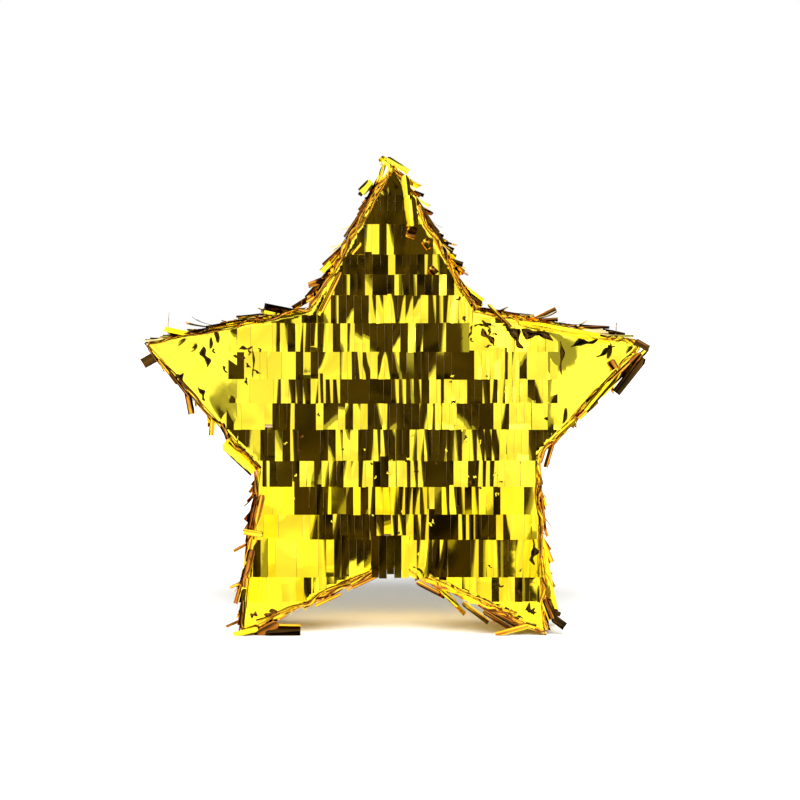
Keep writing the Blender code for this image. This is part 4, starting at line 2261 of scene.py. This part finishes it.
LEFT_LEG_STRIPS = (
    Bundle((-86, 109), (-94, 98), (BLACK, DARK, BROWN), 2.2, 3, 3, (-1, -9), 20),
    Bundle((-86, 93), (-91, 70), (BROWN, DARK), 4.3, 1, 2, (-3, -6), 20),
    Bundle((-86, 67), (-98, 69), (AMBER,), 4.0, -1),
    Bundle((-92, 66), (-95, 48), (AMBER, DARK, BROWN, GOLD, BLACK, BROWN), 4.8, 0, 6, (-6, -44), 14),
    Bundle((-93, 63), (-106, 56), (BROWN, AMBER, BROWN), 2.2, 4, 3, (-2, -50), 20),
    Bundle((-89, 5), (-105, 1), (GOLD,), 4.0, -1),
    Bundle((-76, 8), (-89, 1), (DARK,), 5.8, 1),
    Bundle((-86, 6), (-61, 5), (BROWN,), 4.2, 3, roll_deg=8),
    Bundle((-84, 1), (-61, 2), (BLACK,), 4.8, 1, roll_deg=8),
    Bundle((-10, 40), (-27, 32), (BROWN, AMBER), 3.0, 1, 2, (-24, -12), 20),
)
RIGHT_LEG_STRIPS = (
    Bundle((91, 109), (91, 74), (GOLD,), 7.0, 3, roll_deg=6),
    Bundle((93, 76), (105, 14), (GOLD,), 8.4, 2, roll_deg=6),
    Bundle((97, 65), (104, 48), (AMBER,), 4.6, 4, roll_deg=8),
    Bundle((100, 44), (106, 32), (BROWN,), 2.0, 3, roll_deg=20),
    Bundle((106, 16), (110, 14), (BLACK,), 3.0, 1),
    Bundle((105, 12), (113, 6), (BLACK,), 5.0, 2),
    Bundle((99, 24), (104, 11), (AMBER, BROWN), 4.5, 0, 2, (2, 1), 20),
    Bundle((89, 7), (67, 1), (AMBER,), 3.6, 0),
    Bundle((17, 36), (34, 25), (BROWN, GOLD, AMBER, BROWN), 3.6, 0, 4, (43, -21), 24),
)
RIGHT_ARM_STRIPS = (
    Bundle((67, 213), (77, 203), (AMBER, GOLD), 2.6, 0, 2, (-5, 5), 26),
    Bundle((65, 209), (78, 209), (BLACK,), 2.6, 5),
    Bundle((82, 206), (125, 197), (GOLD,), 4.0, -1, 3, (18, -3), -12),
    Bundle((82, 203), (107, 215), (BROWN,), 2.6, 10, arc_deg=-14),
    Bundle((89, 207), (108, 208), (DARK,), 2.6, 6),
    Bundle((131, 198), (161, 193), (DARK,), 2.4, 2, roll_deg=30),
    Bundle((158, 194), (167, 189), (BLACK,), 4.6, -1),
    Bundle((166, 190), (141, 166), (GOLD, DARK, GOLD, BROWN, DARK, GOLD), 4.0, -1, 6, (-17, -17), -2),
    Bundle((164, 183), (146, 160), (BLACK,), 5.8, 3, roll_deg=8),
    Bundle((142, 181), (145, 176), (BROWN,), 5.0, -2),
    Bundle((133, 155), (121, 144), (AMBER, BROWN, GOLD), 3.2, 0, 3, (-14, -12), 24),
    Bundle((101, 131), (96, 114), (BROWN, DARK), 3.5, 4, 2, (4, -3)),
    Bundle((112, 136), (103, 126), (DARK,), 3.0, 3, roll_deg=20),
)
ALL_STRIPS = SPIKE_STRIPS + LEFT_ARM_STRIPS + LEFT_LEG_STRIPS + RIGHT_LEG_STRIPS + RIGHT_ARM_STRIPS
TUCKS = (
    Tuck((-125, 190), (-121, 177), 3.8),
    Tuck((-142, 172), (-137, 169), 4.5),
    Tuck((-127, 164), (-123, 155), 2.6),
    Tuck((-101, 189), (-92, 190), 2.0),
    Tuck((-92, 190), (-92, 170), 0.9),
    Tuck((-103, 180), (-100, 175), 1.4, 9, (11, 8)),
    Tuck((58, 202), (67, 191), 3.4),
    Tuck((75, 204), (85, 189), 5.0),
    Tuck((84, 201), (105, 196), 6.2),
    Tuck((116, 191), (134, 195), 3.4),
    Tuck((133, 183), (145, 191), 2.2),
    Tuck((110, 194), (110, 172), 2.2),
    Tuck((72, 205), (78, 200), 2.0),
    Tuck((57, 203), (63, 197), 1.3, 8, (6, 5)),
    Tuck((45, 223), (46, 216), 1.4, 5, (2, 8)),
    Tuck((93, 60), (92, 47), 3.8),
    Tuck((90, 42), (95, 41), 4.8),
    Tuck((73, 17), (78, 16), 4.2),
    Tuck((87, 18), (93, 17), 4.6),
    Tuck((84, 28), (90, 27), 1.8, 7, (7, 9)),
    Tuck((-85, 14), (-76, 16), 2.2),
    Tuck((-80, 18), (-77, 13), 3.2),
    Tuck((-94, 14), (-89, 14), 2.8),
)


def build_faces(star: StarShape, finishes: Finishes) -> None:
    """Build every row and every plain sheet on both faces and the flap.

    Args:
        star: the star's shape.
        finishes: the shared materials.
    """
    for index, name in enumerate(sorted(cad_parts)):
        face = Face.FRONT if name.startswith("front") else Face.BACK
        if "_row_" in name:
            body = "flap" if name.startswith("flap") else "star"
            FringeRow(name, face, body, star, finishes.flat_film, 100 + index).build()
        elif "_tip_" in name:
            PointFoil(name, face, star, finishes.flat_film, 300 + index).build()


def build_edges(star: StarShape, finishes: Finishes) -> None:
    """Build the wall fringe and the edge foil of every arm.

    Args:
        star: the star's shape.
        finishes: the shared materials.
    """
    for arm in Arm:
        WallFringe(arm, star, finishes.flat_film, 500 + arm.value).build()
        for face in Face:
            seed = 600 + 10 * arm.value + face.value
            styles = FRONT_STYLES if face is Face.FRONT else BACK_STYLES
            EdgeFoil(arm, face, star, finishes.creased_film_painted_shade, seed, styles[arm]).build()
    LooseStrips(star, finishes.creased_film_painted_shade, ALL_STRIPS, TUCKS).build()


def main() -> None:
    """Build the pinata and its studio."""
    logging.basicConfig(level=logging.INFO, format="%(name)s: %(message)s")
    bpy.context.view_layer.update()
    star = StarShape.from_frame()
    finishes = Finishes.build()
    CardBox(finishes.card).dress()
    build_faces(star, finishes)
    build_edges(star, finishes)
    TipCurl(finishes.flat_film).build()
    Studio(star).build()


if __name__ == "__main__":
    main()
